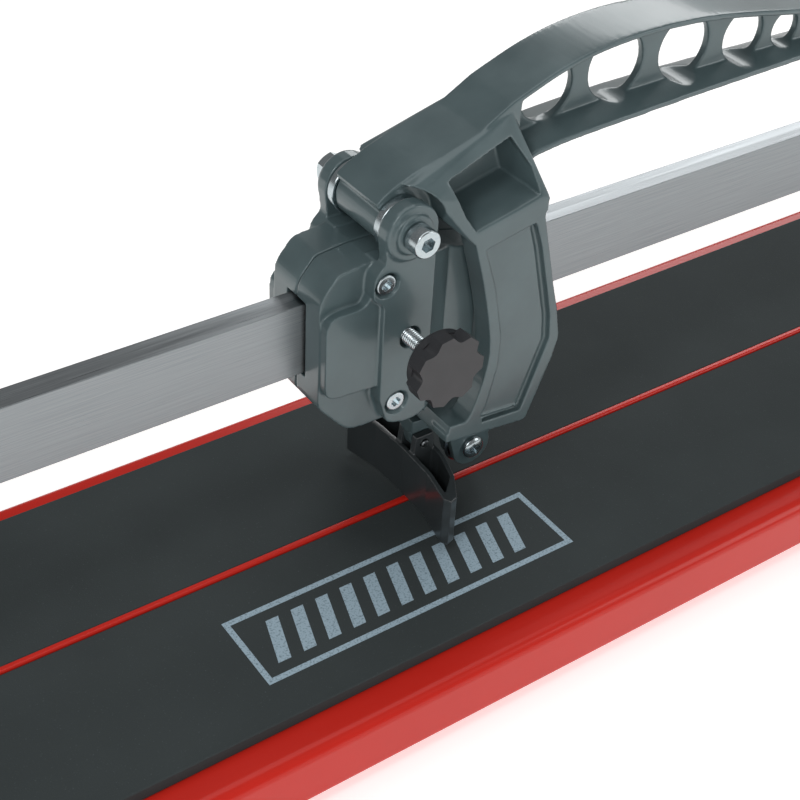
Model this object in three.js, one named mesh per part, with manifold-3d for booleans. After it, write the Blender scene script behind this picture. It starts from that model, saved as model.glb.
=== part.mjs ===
// Monorail tile cutter: a padded base with a flat guide rail above it, and on the rail a rolling
// carriage whose hinged handle carries the scoring wheel and the breaker foot.
// Millimetres, +Z up, origin at the centre of the base on the surface that it stands on.
import * as THREE from "three";
import { mergeVertices } from "three/addons/utils/BufferGeometryUtils.js";
import { ConvexGeometry } from "three/addons/geometries/ConvexGeometry.js";
import Module from "manifold-3d";

const wasm = await Module();
wasm.setup();

// Driving dimensions
const GAP = 0.3; // clearance between pieces that touch
const BASE_LENGTH = 850;
const BASE_HALF_WIDTH = 107.7;
const FOOT_HEIGHT = 7.2;
const DECK_TOP = 38.8; // the red deck that the pads lie on
const PAD_TOP = 45.8;
const PAD_EDGE = 90.3;
const RIDGE_TOP = 46.8;
const RIDGE_HALF_WIDTH = 1.8;
const SHEET = 2.2; // wall of the pressed base
const RAIL_WIDTH = 12;
const RAIL_HEIGHT = 36;
const RAIL_TOP = 190;
const RAIL_LENGTH = 842;
const POST_LENGTH = 24;
const POST_INNER = 397; // distance of each post's inner face from the middle
const PIVOT_X = -145; // handle pivot, which is also the carriage's reference
const PIVOT_Z = 34.2; // above the rail's top
const HUB_RADIUS = 11.3;
const HUB_HALF = 15.5;
const ROLLER_RADIUS = 8;
const LEG_INNER = 16.6;
const LEG_OUTER = 28.5;
const WHEEL_X = 60; // scoring wheel axle, from the pivot and the rail's top
const WHEEL_Z = -121;
const WHEEL_RADIUS = 12.5;
const FOOT_PIN_X = 29;
const FOOT_PIN_Z = -105;

// Materials
const finish = (color, roughness, metalness) => ({ color, roughness, metalness });
const RED = finish(0xb2221b, 0.3, 0.1);
const PAD = finish(0x2f3032, 0.9, 0);
const CASTING = finish(0x586468, 0.42, 0.2);
const STEEL = finish(0x9b9fa3, 0.35, 0.9);
const ZINC = finish(0xb9bdc0, 0.25, 0.95);
const BLACK = finish(0x29292b, 0.5, 0);
const RUBBER = finish(0x1d1d1e, 0.85, 0);
const ALUMINIUM = finish(0xb4b7b9, 0.4, 0.85);
const CARBIDE = finish(0x85888c, 0.2, 1);
const BRONZE = finish(0xa5793f, 0.4, 0.9);

// ---- geometry helpers ----------------------------------------------------------------------

const object = new THREE.Group();

function solid(geometry) {
  const bare = geometry.clone();
  bare.deleteAttribute("normal");
  bare.deleteAttribute("uv");
  const merged = mergeVertices(bare, 1e-4);
  return new wasm.Manifold(
    new wasm.Mesh({
      numProp: 3,
      vertProperties: new Float32Array(merged.attributes.position.array),
      triVerts: new Uint32Array(merged.index.array),
    })
  );
}

function geometryOf(manifold) {
  const mesh = manifold.getMesh();
  const geometry = new THREE.BufferGeometry();
  geometry.setAttribute("position", new THREE.BufferAttribute(new Float32Array(mesh.vertProperties), 3));
  geometry.setIndex(new THREE.BufferAttribute(new Uint32Array(mesh.triVerts), 1));
  return geometry;
}

const join = (...solids) => solids.reduce((a, b) => a.add(b));
const cut = (body, ...tools) => tools.reduce((a, b) => a.subtract(b), body);

function add(name, manifold, look, group = object) {
  const geometry = geometryOf(manifold);
  geometry.computeVertexNormals();
  const mesh = new THREE.Mesh(geometry, new THREE.MeshStandardMaterial(look));
  mesh.name = name;
  group.add(mesh);
  return mesh;
}

function shapeOf(points) {
  return new THREE.Shape(points.map(([a, b]) => new THREE.Vector2(a, b)));
}

// Outline given in X and Z, thick along Y from y0 to y1.
function prismY(points, y0, y1) {
  const geometry = new THREE.ExtrudeGeometry(shapeOf(points), { depth: y1 - y0, bevelEnabled: false });
  geometry.rotateX(Math.PI / 2);
  geometry.translate(0, y1, 0);
  return solid(geometry);
}

// Outline given in Y and Z, long in X from x0 to x1.
function prismX(points, x0, x1) {
  const geometry = new THREE.ExtrudeGeometry(shapeOf(points), { depth: x1 - x0, bevelEnabled: false });
  geometry.applyMatrix4(new THREE.Matrix4().set(0, 0, 1, 0, 1, 0, 0, 0, 0, 1, 0, 0, 0, 0, 0, 1));
  geometry.translate(x0, 0, 0);
  return solid(geometry);
}

// Outline given in X and Y, tall from z0 to z1.
function prismZ(points, z0, z1) {
  const geometry = new THREE.ExtrudeGeometry(shapeOf(points), { depth: z1 - z0, bevelEnabled: false });
  geometry.translate(0, 0, z0);
  return solid(geometry);
}

function box(x0, x1, y0, y1, z0, z1) {
  const geometry = new THREE.BoxGeometry(x1 - x0, y1 - y0, z1 - z0);
  geometry.translate((x0 + x1) / 2, (y0 + y1) / 2, (z0 + z1) / 2);
  return solid(geometry);
}

function cylinderY(x, z, radius, y0, y1, sides = 24) {
  const geometry = new THREE.CylinderGeometry(radius, radius, y1 - y0, sides);
  geometry.translate(x, (y0 + y1) / 2, z);
  return solid(geometry);
}

function cylinderZ(x, y, radius, z0, z1, sides = 24) {
  const geometry = new THREE.CylinderGeometry(radius, radius, z1 - z0, sides);
  geometry.rotateX(Math.PI / 2);
  geometry.translate(x, y, (z0 + z1) / 2);
  return solid(geometry);
}

// Lathe profile of [radius, height] pairs, turned about the Y axis through (x, z).
function turnedY(profile, x, z, y, sides = 24) {
  const geometry = new THREE.LatheGeometry(profile.map(([r, h]) => new THREE.Vector2(r, h)), sides);
  geometry.translate(x, y, z);
  return solid(geometry);
}

function hull(points) {
  return solid(new ConvexGeometry(points.map(([x, y, z]) => new THREE.Vector3(x, y, z))));
}

// Corners of an outline rounded by arcs: each point is [a, b, radius].
function rounded(points, steps = 4) {
  const result = [];
  points.forEach(([a, b, radius = 0], i) => {
    const corner = new THREE.Vector2(a, b);
    if (radius === 0) {
      result.push([a, b]);
      return;
    }
    const before = new THREE.Vector2(...points.at(i - 1).slice(0, 2)).sub(corner);
    const after = new THREE.Vector2(...points[(i + 1) % points.length].slice(0, 2)).sub(corner);
    const half = Math.abs(before.angleTo(after)) / 2;
    const reach = radius / Math.tan(half);
    const start = before.clone().setLength(reach).add(corner);
    const end = after.clone().setLength(reach).add(corner);
    const curve = new THREE.QuadraticBezierCurve(start, corner, end);
    curve.getPoints(steps).forEach((p) => result.push([p.x, p.y]));
  });
  return result;
}

function circle(a, b, radius, steps = 24, from = 0, to = 2 * Math.PI) {
  const points = [];
  const closed = to - from >= 2 * Math.PI;
  for (let i = 0; i < steps + (closed ? 0 : 1); i++) {
    const angle = from + ((to - from) * i) / steps;
    points.push([a + radius * Math.cos(angle), b + radius * Math.sin(angle)]);
  }
  return points;
}

const mirrorY = (manifold) => manifold.mirror([0, 1, 0]);
const hexagon = (a, b, flats) => circle(a, b, flats / Math.sqrt(3), 6);

// ---- base ----------------------------------------------------------------------------------

const HALF_LENGTH = BASE_LENGTH / 2;
const CAP = 5; // thickness of the moulded end caps
const LIP = 20; // inward lip along the bottom of each skirt
const EDGE_RADIUS = 6;

// Pressed section: ridge in the middle, deck, rounded shoulders, skirts and inward lips.
function baseSection() {
  const outer = BASE_HALF_WIDTH;
  const deckUnder = DECK_TOP - SHEET;
  const right = [
    [RIDGE_HALF_WIDTH, DECK_TOP],
    [RIDGE_HALF_WIDTH, RIDGE_TOP],
  ];
  const shoulder = circle(outer - EDGE_RADIUS, DECK_TOP - EDGE_RADIUS, EDGE_RADIUS, 6, 0, Math.PI / 2);
  const inner = EDGE_RADIUS - SHEET;
  const inside = circle(outer - EDGE_RADIUS, DECK_TOP - EDGE_RADIUS, inner, 6, 0, Math.PI / 2);
  const skirt = [
    ...shoulder.reverse(),
    [outer, FOOT_HEIGHT],
    [outer - LIP, FOOT_HEIGHT],
    [outer - LIP, FOOT_HEIGHT + SHEET],
    [outer - SHEET, FOOT_HEIGHT + SHEET],
    ...inside,
  ];
  const half = [...right.reverse(), ...skirt];
  const other = half.map(([y, z]) => [-y, z]).reverse();
  return [...half, [0, deckUnder], ...other];
}

function makeBase() {
  const pan = prismX(baseSection(), -HALF_LENGTH + CAP, HALF_LENGTH - CAP);
  add("base_pan", pan, RED);

  for (const side of [-1, 1]) {
    const near = RIDGE_HALF_WIDTH + GAP;
    const outline = [
      [-POST_INNER + 21, side * near],
      [POST_INNER - 3, side * near],
      [POST_INNER - 3, side * PAD_EDGE],
      [-POST_INNER + 21, side * PAD_EDGE],
    ];
    add(side < 0 ? "front_pad" : "rear_pad", prismZ(outline, DECK_TOP + GAP, PAD_TOP), PAD);
  }

  for (const end of [-1, 1]) {
    const outline = rounded([
      [-BASE_HALF_WIDTH, FOOT_HEIGHT, 3],
      [BASE_HALF_WIDTH, FOOT_HEIGHT, 3],
      [BASE_HALF_WIDTH, DECK_TOP, EDGE_RADIUS],
      [-BASE_HALF_WIDTH, DECK_TOP, EDGE_RADIUS],
    ]);
    const inner = HALF_LENGTH - CAP + GAP;
    const cap = end < 0 ? prismX(outline, -HALF_LENGTH, -inner) : prismX(outline, inner, HALF_LENGTH);
    const name = end < 0 ? "left" : "right";
    const plugs = [-1, 1].map((side) => {
      const y0 = side < 0 ? -BASE_HALF_WIDTH + SHEET + GAP : 30;
      const y1 = side < 0 ? -30 : BASE_HALF_WIDTH - SHEET - GAP;
      const x0 = end < 0 ? -inner - 1 : inner - 8;
      return box(x0, x0 + 9, y0, y1, FOOT_HEIGHT + SHEET + GAP, DECK_TOP - SHEET - 3.8);
    });
    add(`${name}_end_cap`, join(cap, ...plugs), BLACK);
  }

  for (const x of [-1, 1]) {
    for (const y of [-1, 1]) {
      const top = FOOT_HEIGHT - GAP;
      const profile = [[0, 0], [9, 0], [10, 1], [9, top], [0, top]];
      const foot = new THREE.LatheGeometry(profile.map((p) => new THREE.Vector2(...p)), 20);
      foot.rotateX(Math.PI / 2);
      foot.translate(x * (HALF_LENGTH - 45), y * (BASE_HALF_WIDTH - 10.2), 0);
      const name = `${x < 0 ? "left" : "right"}_${y < 0 ? "front" : "rear"}_foot`;
      add(name, solid(foot), RUBBER);
    }
  }
}

// ---- rail and its posts --------------------------------------------------------------------

const POST_BOLT_DROP = [9, 27]; // rail bolts below the rail's top
const POST_BOLT_X = POST_INNER + POST_LENGTH / 2;
const POST_FOOT_HALF = 46;
const POST_SCREW_Y = 35;

function makeRail() {
  const half = RAIL_LENGTH / 2;
  let rail = box(-half, half, -RAIL_WIDTH / 2, RAIL_WIDTH / 2, RAIL_TOP - RAIL_HEIGHT, RAIL_TOP);
  for (const end of [-1, 1]) {
    for (const drop of POST_BOLT_DROP) {
      rail = cut(rail, cylinderY(end * POST_BOLT_X, RAIL_TOP - drop, 4.3, -10, 10, 20));
    }
  }
  add("rail", rail, STEEL);
}

// A cast post: wide foot on the deck, waisted column and a fork that grips the rail.
function makePost(end) {
  const bottom = DECK_TOP + GAP;
  const top = RAIL_TOP + 6;
  const outline = rounded([
    [-POST_FOOT_HALF, bottom, 0],
    [POST_FOOT_HALF, bottom, 0],
    [POST_FOOT_HALF, bottom + 12, 4],
    [22, bottom + 26, 12],
    [17, RAIL_TOP - RAIL_HEIGHT - 14, 10],
    [20, RAIL_TOP - RAIL_HEIGHT, 6],
    [20, top, 6],
    [-20, top, 6],
    [-20, RAIL_TOP - RAIL_HEIGHT, 6],
    [-17, RAIL_TOP - RAIL_HEIGHT - 14, 10],
    [-22, bottom + 26, 12],
    [-POST_FOOT_HALF, bottom + 12, 4],
  ]);
  const x0 = end < 0 ? -POST_INNER - POST_LENGTH : POST_INNER;
  const x1 = x0 + POST_LENGTH;
  const middle = (x0 + x1) / 2;
  const slotHalf = RAIL_WIDTH / 2 + GAP;
  let post = prismX(outline, x0, x1);
  post = cut(
    post,
    box(x0 - 1, x1 + 1, -slotHalf, slotHalf, RAIL_TOP - RAIL_HEIGHT - GAP, top + 1),
    box(x0 - 1, x1 + 1, -RIDGE_HALF_WIDTH - GAP, RIDGE_HALF_WIDTH + GAP, bottom - 1, RIDGE_TOP + GAP)
  );
  for (const side of [-1, 1]) {
    const y = side * POST_SCREW_Y;
    post = cut(post, cylinderZ(middle, y, 3.3, bottom - 1, bottom + 30, 16));
    post = cut(post, cylinderZ(middle, y, 6.2, bottom + 7, bottom + 40, 16));
  }
  for (const drop of POST_BOLT_DROP) {
    post = cut(post, cylinderY(middle, RAIL_TOP - drop, 4.3, -30, 30, 20));
  }
  const name = end < 0 ? "left" : "right";
  add(`${name}_post`, post, CASTING);

  POST_BOLT_DROP.forEach((drop, i) => {
    const z = RAIL_TOP - drop;
    const head = prismY(hexagon(middle, z, 13), -20 - GAP - 5.5, -20 - GAP);
    const nut = prismY(hexagon(middle, z, 13), 20 + GAP, 20 + GAP + 6.5);
    const shank = cylinderY(middle, z, 4, -21, 28.5, 16);
    add(`${name}_rail_bolt_${i + 1}`, join(head, shank, nut), ZINC);
  });
  [-1, 1].forEach((side) => {
    const y = side * POST_SCREW_Y;
    const head = cylinderZ(middle, y, 5.6, bottom + 7 + GAP, bottom + 12, 16);
    const shank = cylinderZ(middle, y, 3, bottom - GAP + 0.6, bottom + 8, 12);
    const hex = prismZ(hexagon(middle, y, 5), bottom + 9, bottom + 13);
    add(`${name}_post_screw_${side < 0 ? "front" : "rear"}`, cut(join(head, shank), hex), ZINC);
  });
}

// ---- fence and side stop --------------------------------------------------------------------

const FENCE_X0 = -391.5;
const FENCE_X1 = -378;
const FENCE_TOP = 59;
const FENCE_HALF = 104;
const STOP_Y = 80;
const STOP_HALF = 9;
const FENCE_SCREW_Y = 98;

function makeFence() {
  const bottom = DECK_TOP + GAP;
  const section = rounded([
    [FENCE_X0, bottom, 0],
    [FENCE_X1, bottom, 0],
    [FENCE_X1, FENCE_TOP, 1],
    [FENCE_X0, FENCE_TOP, 1],
  ], 2);
  const middle = (FENCE_X0 + FENCE_X1) / 2;
  let fence = prismY(section, -FENCE_HALF, FENCE_HALF);
  fence = cut(fence, box(FENCE_X0 - 1, FENCE_X1 + 1, -2.1, 2.1, bottom - 1, RIDGE_TOP + GAP));
  for (const side of [-1, 1]) {
    fence = cut(fence, cylinderZ(middle, side * FENCE_SCREW_Y, 2.6, bottom - 1, FENCE_TOP + 1, 16));
    fence = cut(fence, cylinderZ(middle, side * FENCE_SCREW_Y, 4.8, FENCE_TOP - 3.5, FENCE_TOP + 1, 20));
  }
  add("fence_bar", fence, ALUMINIUM);
  for (const side of [-1, 1]) {
    const y = side * FENCE_SCREW_Y;
    const head = cylinderZ(middle, y, 4.5, FENCE_TOP - 3.2, FENCE_TOP - 0.2, 20);
    const shank = cylinderZ(middle, y, 2.3, bottom + 0.3, FENCE_TOP - 3, 12);
    const hex = prismZ(hexagon(middle, y, 3), FENCE_TOP - 2.2, FENCE_TOP + 1);
    add(`${side < 0 ? "front" : "rear"}_fence_screw`, cut(join(head, shank), hex), ZINC);
  }
}

// The stop saddles the fence and carries a short arm that the tile's edge rests against.
function makeStop() {
  const z0 = RIDGE_TOP + 0.5;
  const top = FENCE_TOP + 7;
  const saddle = box(FENCE_X0 - 4, FENCE_X1 + 4, STOP_Y - STOP_HALF, STOP_Y + STOP_HALF, z0, top);
  const arm = box(FENCE_X1 + 3, FENCE_X1 + 36, STOP_Y - STOP_HALF, STOP_Y - STOP_HALF + 5, z0, z0 + 11);
  const groove = box(FENCE_X0 - GAP, FENCE_X1 + GAP, STOP_Y - 20, STOP_Y + 20, z0 - 1, FENCE_TOP + GAP);
  const middle = (FENCE_X0 + FENCE_X1) / 2;
  const hole = cylinderZ(middle, STOP_Y, 3.3, FENCE_TOP - 1, top + 1, 16);
  add("side_stop", cut(join(saddle, arm), groove, hole), ALUMINIUM);

  const stud = cylinderZ(middle, STOP_Y, 3, FENCE_TOP + 0.8, top + 4, 16);
  const knob = prismZ(lobes(middle, STOP_Y, 8.5, 1.2, 6), top + 1.5, top + 13);
  add("stop_knob", join(stud, knob), BLACK);
}

// Star outline: a circle whose radius swells at each lobe.
function lobes(a, b, radius, swell, count) {
  const points = [];
  const steps = count * 6;
  for (let i = 0; i < steps; i++) {
    const angle = (2 * Math.PI * i) / steps;
    const r = radius + swell * Math.cos(count * angle);
    points.push([a + r * Math.cos(angle), b + r * Math.sin(angle)]);
  }
  return points;
}

// ---- carriage -------------------------------------------------------------------------------
// Everything below is placed from the handle pivot in X and from the rail's top in Z.

const upper = new THREE.Group();
upper.position.set(PIVOT_X, 0, RAIL_TOP);
object.add(upper);

const ROLLER_XS = [-24, 14];
const ROLLER_GAP = 0.2;
const ROLLER_ZS = [ROLLER_RADIUS + ROLLER_GAP, -RAIL_HEIGHT - ROLLER_RADIUS - ROLLER_GAP];
const ROLLER_HALF = 5;
const PIN_RADIUS = 2.5;
const CORE_DEPTH = 18.5; // front face of the main block
const CHEEK_DEPTH = 23.5; // front face of the raised block at the left
const PLATE_DEPTH = 26; // front face of the ear plate
const SCREWS = [[-11, 11.1], [-3, -54.1]];
const STUD_X = 2.4; // lock knob's axis
const STUD_Z = -20;

function carriageCore() {
  return rounded([
    [-40, -48, 8],
    [-40, 8, 12],
    [-31, 18.5, 6],
    [-13.5, 20.5, 4],
    [14, 20, 3],
    [33, 11.5, 3],
    [46, 8, 5],
    [46, -50, 8],
    [30, -67, 10],
    [-24, -67, 14],
  ], 5);
}

function carriageCheek() {
  return rounded([
    [-39.6, -41, 7],
    [-39.6, 1.6, 8],
    [-20, 1.6, 6],
    [-17, 8, 0],
    [-8, 8, 0],
    [-8, -43.3, 0],
  ]);
}

function earPlate() {
  return rounded([
    [-12.4, -50, 6],
    [-12.4, 1, 4],
    [-18, 6, 6],
    [-17.5, 17, 8],
    [-12, 22, 4],
    [-13.4, 34.2, 0],
    ...circle(0, PIVOT_Z, 13.4, 10, Math.PI, 0).slice(1, -1).map(([a, b]) => [a, b, 0]),
    [13.4, 34.2, 0],
    [13.4, -66, 6],
    [2, -67, 6],
    [-8, -64, 6],
  ]);
}

function carriageHalf() {
  const slot = RAIL_WIDTH / 2 + 1.4;
  const far = -GAP / 2;
  const core = prismY(carriageCore(), -CORE_DEPTH, far);
  const cheek = prismY(carriageCheek(), -CHEEK_DEPTH, -12);
  const plate = cut(
    prismY(earPlate(), -PLATE_DEPTH, -12),
    prismY([[-30, 21], [30, 21], [30, 60], [-30, 60]], -20, 0)
  );
  // Right of the plate the cover slopes back to clear the handle's leg.
  const slope = hull([
    ...[[13, 20], [13, -66]].flatMap(([x, z]) => [[x, -PLATE_DEPTH, z], [x, -12, z]]),
    ...[[28, 13.2], [28, -60]].flatMap(([x, z]) => [[x, -15.8, z], [x, -12, z]]),
  ]);
  const ear = cylinderY(0, PIVOT_Z, 13, -27.4, -20, 32);
  const boss = cylinderY(0, PIVOT_Z, 9.2, -29.3, -20, 24);
  let half = join(cut(core, box(14, 50, -30, -15.8, -80, 30)), cheek, plate, slope, ear, boss);
  half = cut(half, box(-60, 60, -slot, 1, -RAIL_HEIGHT - 1.5, 1.5));
  for (const x of ROLLER_XS) {
    for (const z of ROLLER_ZS) {
      const side = z > 0 ? -6 : 6;
      half = cut(half, cylinderY(x, z, ROLLER_RADIUS + 1, -ROLLER_HALF - 0.8, 1, 24));
      half = cut(half, cylinderY(x, z + side, ROLLER_RADIUS, -ROLLER_HALF - 0.8, 1, 16));
      half = cut(half, cylinderY(x, z, PIN_RADIUS + 0.15, -12, 1, 12));
    }
  }
  for (const [x, z] of SCREWS) {
    half = cut(half, cylinderY(x, z, 2.7, -40, 1, 16), cylinderY(x, z, 5.4, -40, -22.5, 24));
  }
  half = cut(half, cylinderY(0, PIVOT_Z, 4.3, -40, 1, 20));
  return half;
}

function makeCarriage() {
  const half = carriageHalf();
  const studHole = cylinderY(STUD_X, STUD_Z, 4.3, -40, 0, 20);
  add("carriage_front_shell", cut(half, studHole), CASTING, upper);
  add("carriage_rear_shell", mirrorY(half), CASTING, upper);

  SCREWS.forEach(([x, z], i) => {
    const head = cylinderY(x, z, 4.9, -25.4, -22.5 - GAP, 20);
    const shank = cylinderY(x, z, 2.4, -23, 24.6, 12);
    const socket = prismY(hexagon(x, z, 4), -26, -23.9);
    const nut = cut(prismY(hexagon(x, z, 8), 22.5 + GAP, 26.3), cylinderY(x, z, 2.7, 20, 30, 16));
    const label = i === 0 ? "upper" : "lower";
    add(`${label}_clamp_screw`, cut(join(head, shank), socket), ZINC, upper);
    add(`${label}_clamp_nut`, nut, ZINC, upper);
  });

  ROLLER_ZS.forEach((z, row) => {
    ROLLER_XS.forEach((x, column) => {
      const name = `${row === 0 ? "upper" : "lower"}_${column === 0 ? "left" : "right"}`;
      const bore = PIN_RADIUS + 0.1;
      const profile = [
        [bore, -ROLLER_HALF],
        [ROLLER_RADIUS - 0.5, -ROLLER_HALF],
        [ROLLER_RADIUS, -ROLLER_HALF + 0.5],
        [ROLLER_RADIUS, ROLLER_HALF - 0.5],
        [ROLLER_RADIUS - 0.5, ROLLER_HALF],
        [bore, ROLLER_HALF],
        [bore, -ROLLER_HALF],
      ];
      add(`${name}_roller`, turnedY(profile, x, z, 0, 20), STEEL, upper);
      add(`${name}_roller_pin`, cylinderY(x, z, PIN_RADIUS, -11.7, 11.7, 12), STEEL, upper);
    });
  });

  const boltHead = cylinderY(0, PIVOT_Z, 6.6, -37.9, -29.3 - GAP, 24);
  const boltShank = cylinderY(0, PIVOT_Z, 4, -30, 36.6, 16);
  const boltSocket = prismY(hexagon(0, PIVOT_Z, 6), -38.5, -33.5);
  add("pivot_bolt", cut(join(boltHead, boltShank), boltSocket), ZINC, upper);
  const nut = prismY(hexagon(0, PIVOT_Z, 13), 29.3 + GAP, 37.9);
  add("pivot_nut", cut(nut, cylinderY(0, PIVOT_Z, 4.3, 20, 40, 20)), ZINC, upper);
  const ring = (outer, inner, y0, y1) =>
    cut(cylinderY(0, PIVOT_Z, outer, y0, y1, 32), cylinderY(0, PIVOT_Z, inner, y0 - 1, y1 + 1, 20));
  add("pivot_bush", ring(6.5, 4.3, -HUB_HALF, HUB_HALF), BRONZE, upper);
  add("front_thrust_washer", ring(12.6, 4.3, -19.7, -HUB_HALF - GAP), ZINC, upper);
  add("rear_thrust_washer", ring(12.6, 4.3, HUB_HALF + GAP, 19.7), ZINC, upper);
}

// Carriage lock: the knob's stud runs in the front shell and bears on the rail.
function makeLock() {
  const tip = -RAIL_WIDTH / 2 - 1.9; // clear of the rail by the travel that locks it
  const studEnd = -43;
  const starBack = -48;
  const knobFace = -56;
  const collar = [[0, -38], [8, -38], [14.5, starBack + 0.5], [14.5, starBack - 1], [0, starBack - 1]];
  add("lock_stud", cylinderY(STUD_X, STUD_Z, 3.9, studEnd, tip, 20), ZINC, upper);
  const star = prismY(lobes(STUD_X, STUD_Z, 15.9, 1.8, 7), knobFace, starBack);
  const neck = turnedY(collar.reverse(), STUD_X, STUD_Z, 0, 28);
  const bore = cylinderY(STUD_X, STUD_Z, 4.2, studEnd - GAP, -30, 20);
  add("lock_knob", cut(join(star, neck), bore), BLACK, upper);
}

// ---- handle ---------------------------------------------------------------------------------

const NECK_HALF = 15.6; // half width of the arm's flanges at the neck
const WEB_HALF = 2.2;
const FLANGE_EDGE = 2.7; // thickness of a flange at its edge
const TOP_ROOT = 5; // and where it joins the web
const UNDER_ROOT = 6.5;
const GRIP_START = 292;
const HANDLE_END = 392;
const HOLES = [
  [86.7, 67.2, 14.6],
  [126.6, 69.4, 16.1],
  [168.3, 68.6, 15.5],
  [207.1, 65.8, 13.1],
  [236, 63, 8.8],
  [261, 60.4, 6.6],
];

// Edges of the handle seen from the side, as [x, z], and the flanges' half width as [x, y]
const NECK_LINE = [
  [-11, 45], [-6, 48.6], [2, 52.6], [11, 56], [26, 60.2], [38, 63.7], [47, 68.6], [57, 74.3],
];
const ARM_LINE = [
  [57, 74.3], [67, 78.3], [83, 84], [102, 88.4], [125, 90.6], [148, 90.4],
  [173, 88.2], [202, 83.4], [224, 79.2], [262, 72.5], [GRIP_START, 67.5],
];
const UNDER_LINE = [
  [57, 32], [70, 42.8], [78, 45], [96, 46.8], [133, 48.4],
  [177, 49.2], [232, 49.4], [262, 49.3], [GRIP_START, 49],
];
const WIDTH_LINE = [
  [57, NECK_HALF], [135, NECK_HALF], [172, 14.6], [212, 13.2], [235, 12.4], [GRIP_START, 11],
];

function curveThrough(points, steps) {
  const curve = new THREE.SplineCurve(points.map(([a, b]) => new THREE.Vector2(a, b)));
  return curve.getPoints(steps).map((p) => [p.x, p.y]);
}

// Height of a line of [x, height] points at x.
function heightAt(line, x) {
  const i = Math.min(line.findLastIndex((p) => p[0] <= x), line.length - 2);
  const [[x0, z0], [x1, z1]] = line.slice(i, i + 2);
  return z0 + ((z1 - z0) * (x - x0)) / (x1 - x0);
}

// Skin over a row of closed outlines, [x, y, z], which all have the same number of points.
function loft(rings) {
  const count = rings[0].length;
  const last = (rings.length - 1) * count;
  const caps = THREE.ShapeUtils.triangulateShape(rings[0].map(([, y, z]) => new THREE.Vector2(y, z)), []);
  const faces = caps.flatMap(([a, b, c]) => [a, c, b, last + a, last + b, last + c]);
  for (let ring = 0; ring < last; ring += count) {
    for (let i = 0; i < count; i++) {
      const j = (i + 1) % count;
      faces.push(ring + i, ring + j, ring + count + j, ring + i, ring + count + j, ring + count + i);
    }
  }
  const geometry = new THREE.BufferGeometry();
  geometry.setAttribute("position", new THREE.BufferAttribute(new Float32Array(rings.flat(2)), 3));
  geometry.setIndex(faces);
  return solid(geometry);
}

// The arm is an I section: two wide flanges, thicker at the root, and a web with round windows.
function makeArm() {
  const under = curveThrough(UNDER_LINE, 120);
  const rings = curveThrough(ARM_LINE, 90).map(([x, top]) => {
    const low = heightAt(under, x);
    const half = heightAt(WIDTH_LINE, x);
    const side = [
      [half, low],
      [half, low + FLANGE_EDGE],
      [WEB_HALF, low + UNDER_ROOT],
      [WEB_HALF, top - TOP_ROOT],
      [half, top - FLANGE_EDGE],
      [half, top],
    ];
    const other = side.map(([y, z]) => [-y, z]).reverse();
    return [...side, ...other].map(([y, z]) => [x, y, z]);
  });
  const holes = HOLES.map(([x, z, r]) => cylinderY(x, z, r, -20, 20, 28));
  return cut(loft(rings), ...holes);
}

function legOutline() {
  const inner = [[31.5, 22.5], [40, -7], [46, -36], [45.8, -53.6], [40, -74], [33, -85]];
  const left = curveThrough(inner, 12);
  return rounded([
    ...left.reverse(),
    [72.5, 30.5],
    [71, 22],
    [80.8, -17],
    [85.3, -33],
    [88.6, -50, 6],
    [86, -60.5],
    [73.2, -94, 3],
    [25.1, -88.5],
    [25.1, -84],
  ], 3);
}

// Corners of a neck pocket's mouth and of its floor, as [x, y, z] on the positive side
const POCKET_MOUTH = [[19.4, 19, 51.4], [54.5, 18, 60.6], [68, 29, 32.8], [32.8, 29, 24.9]];
const POCKET_FLOOR = [[19, 1.3, 53], [56, 1.3, 63], [62, 4.5, 37], [34, 4.5, 30]];
const EAR_ROOM = 17.3; // radius

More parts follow.
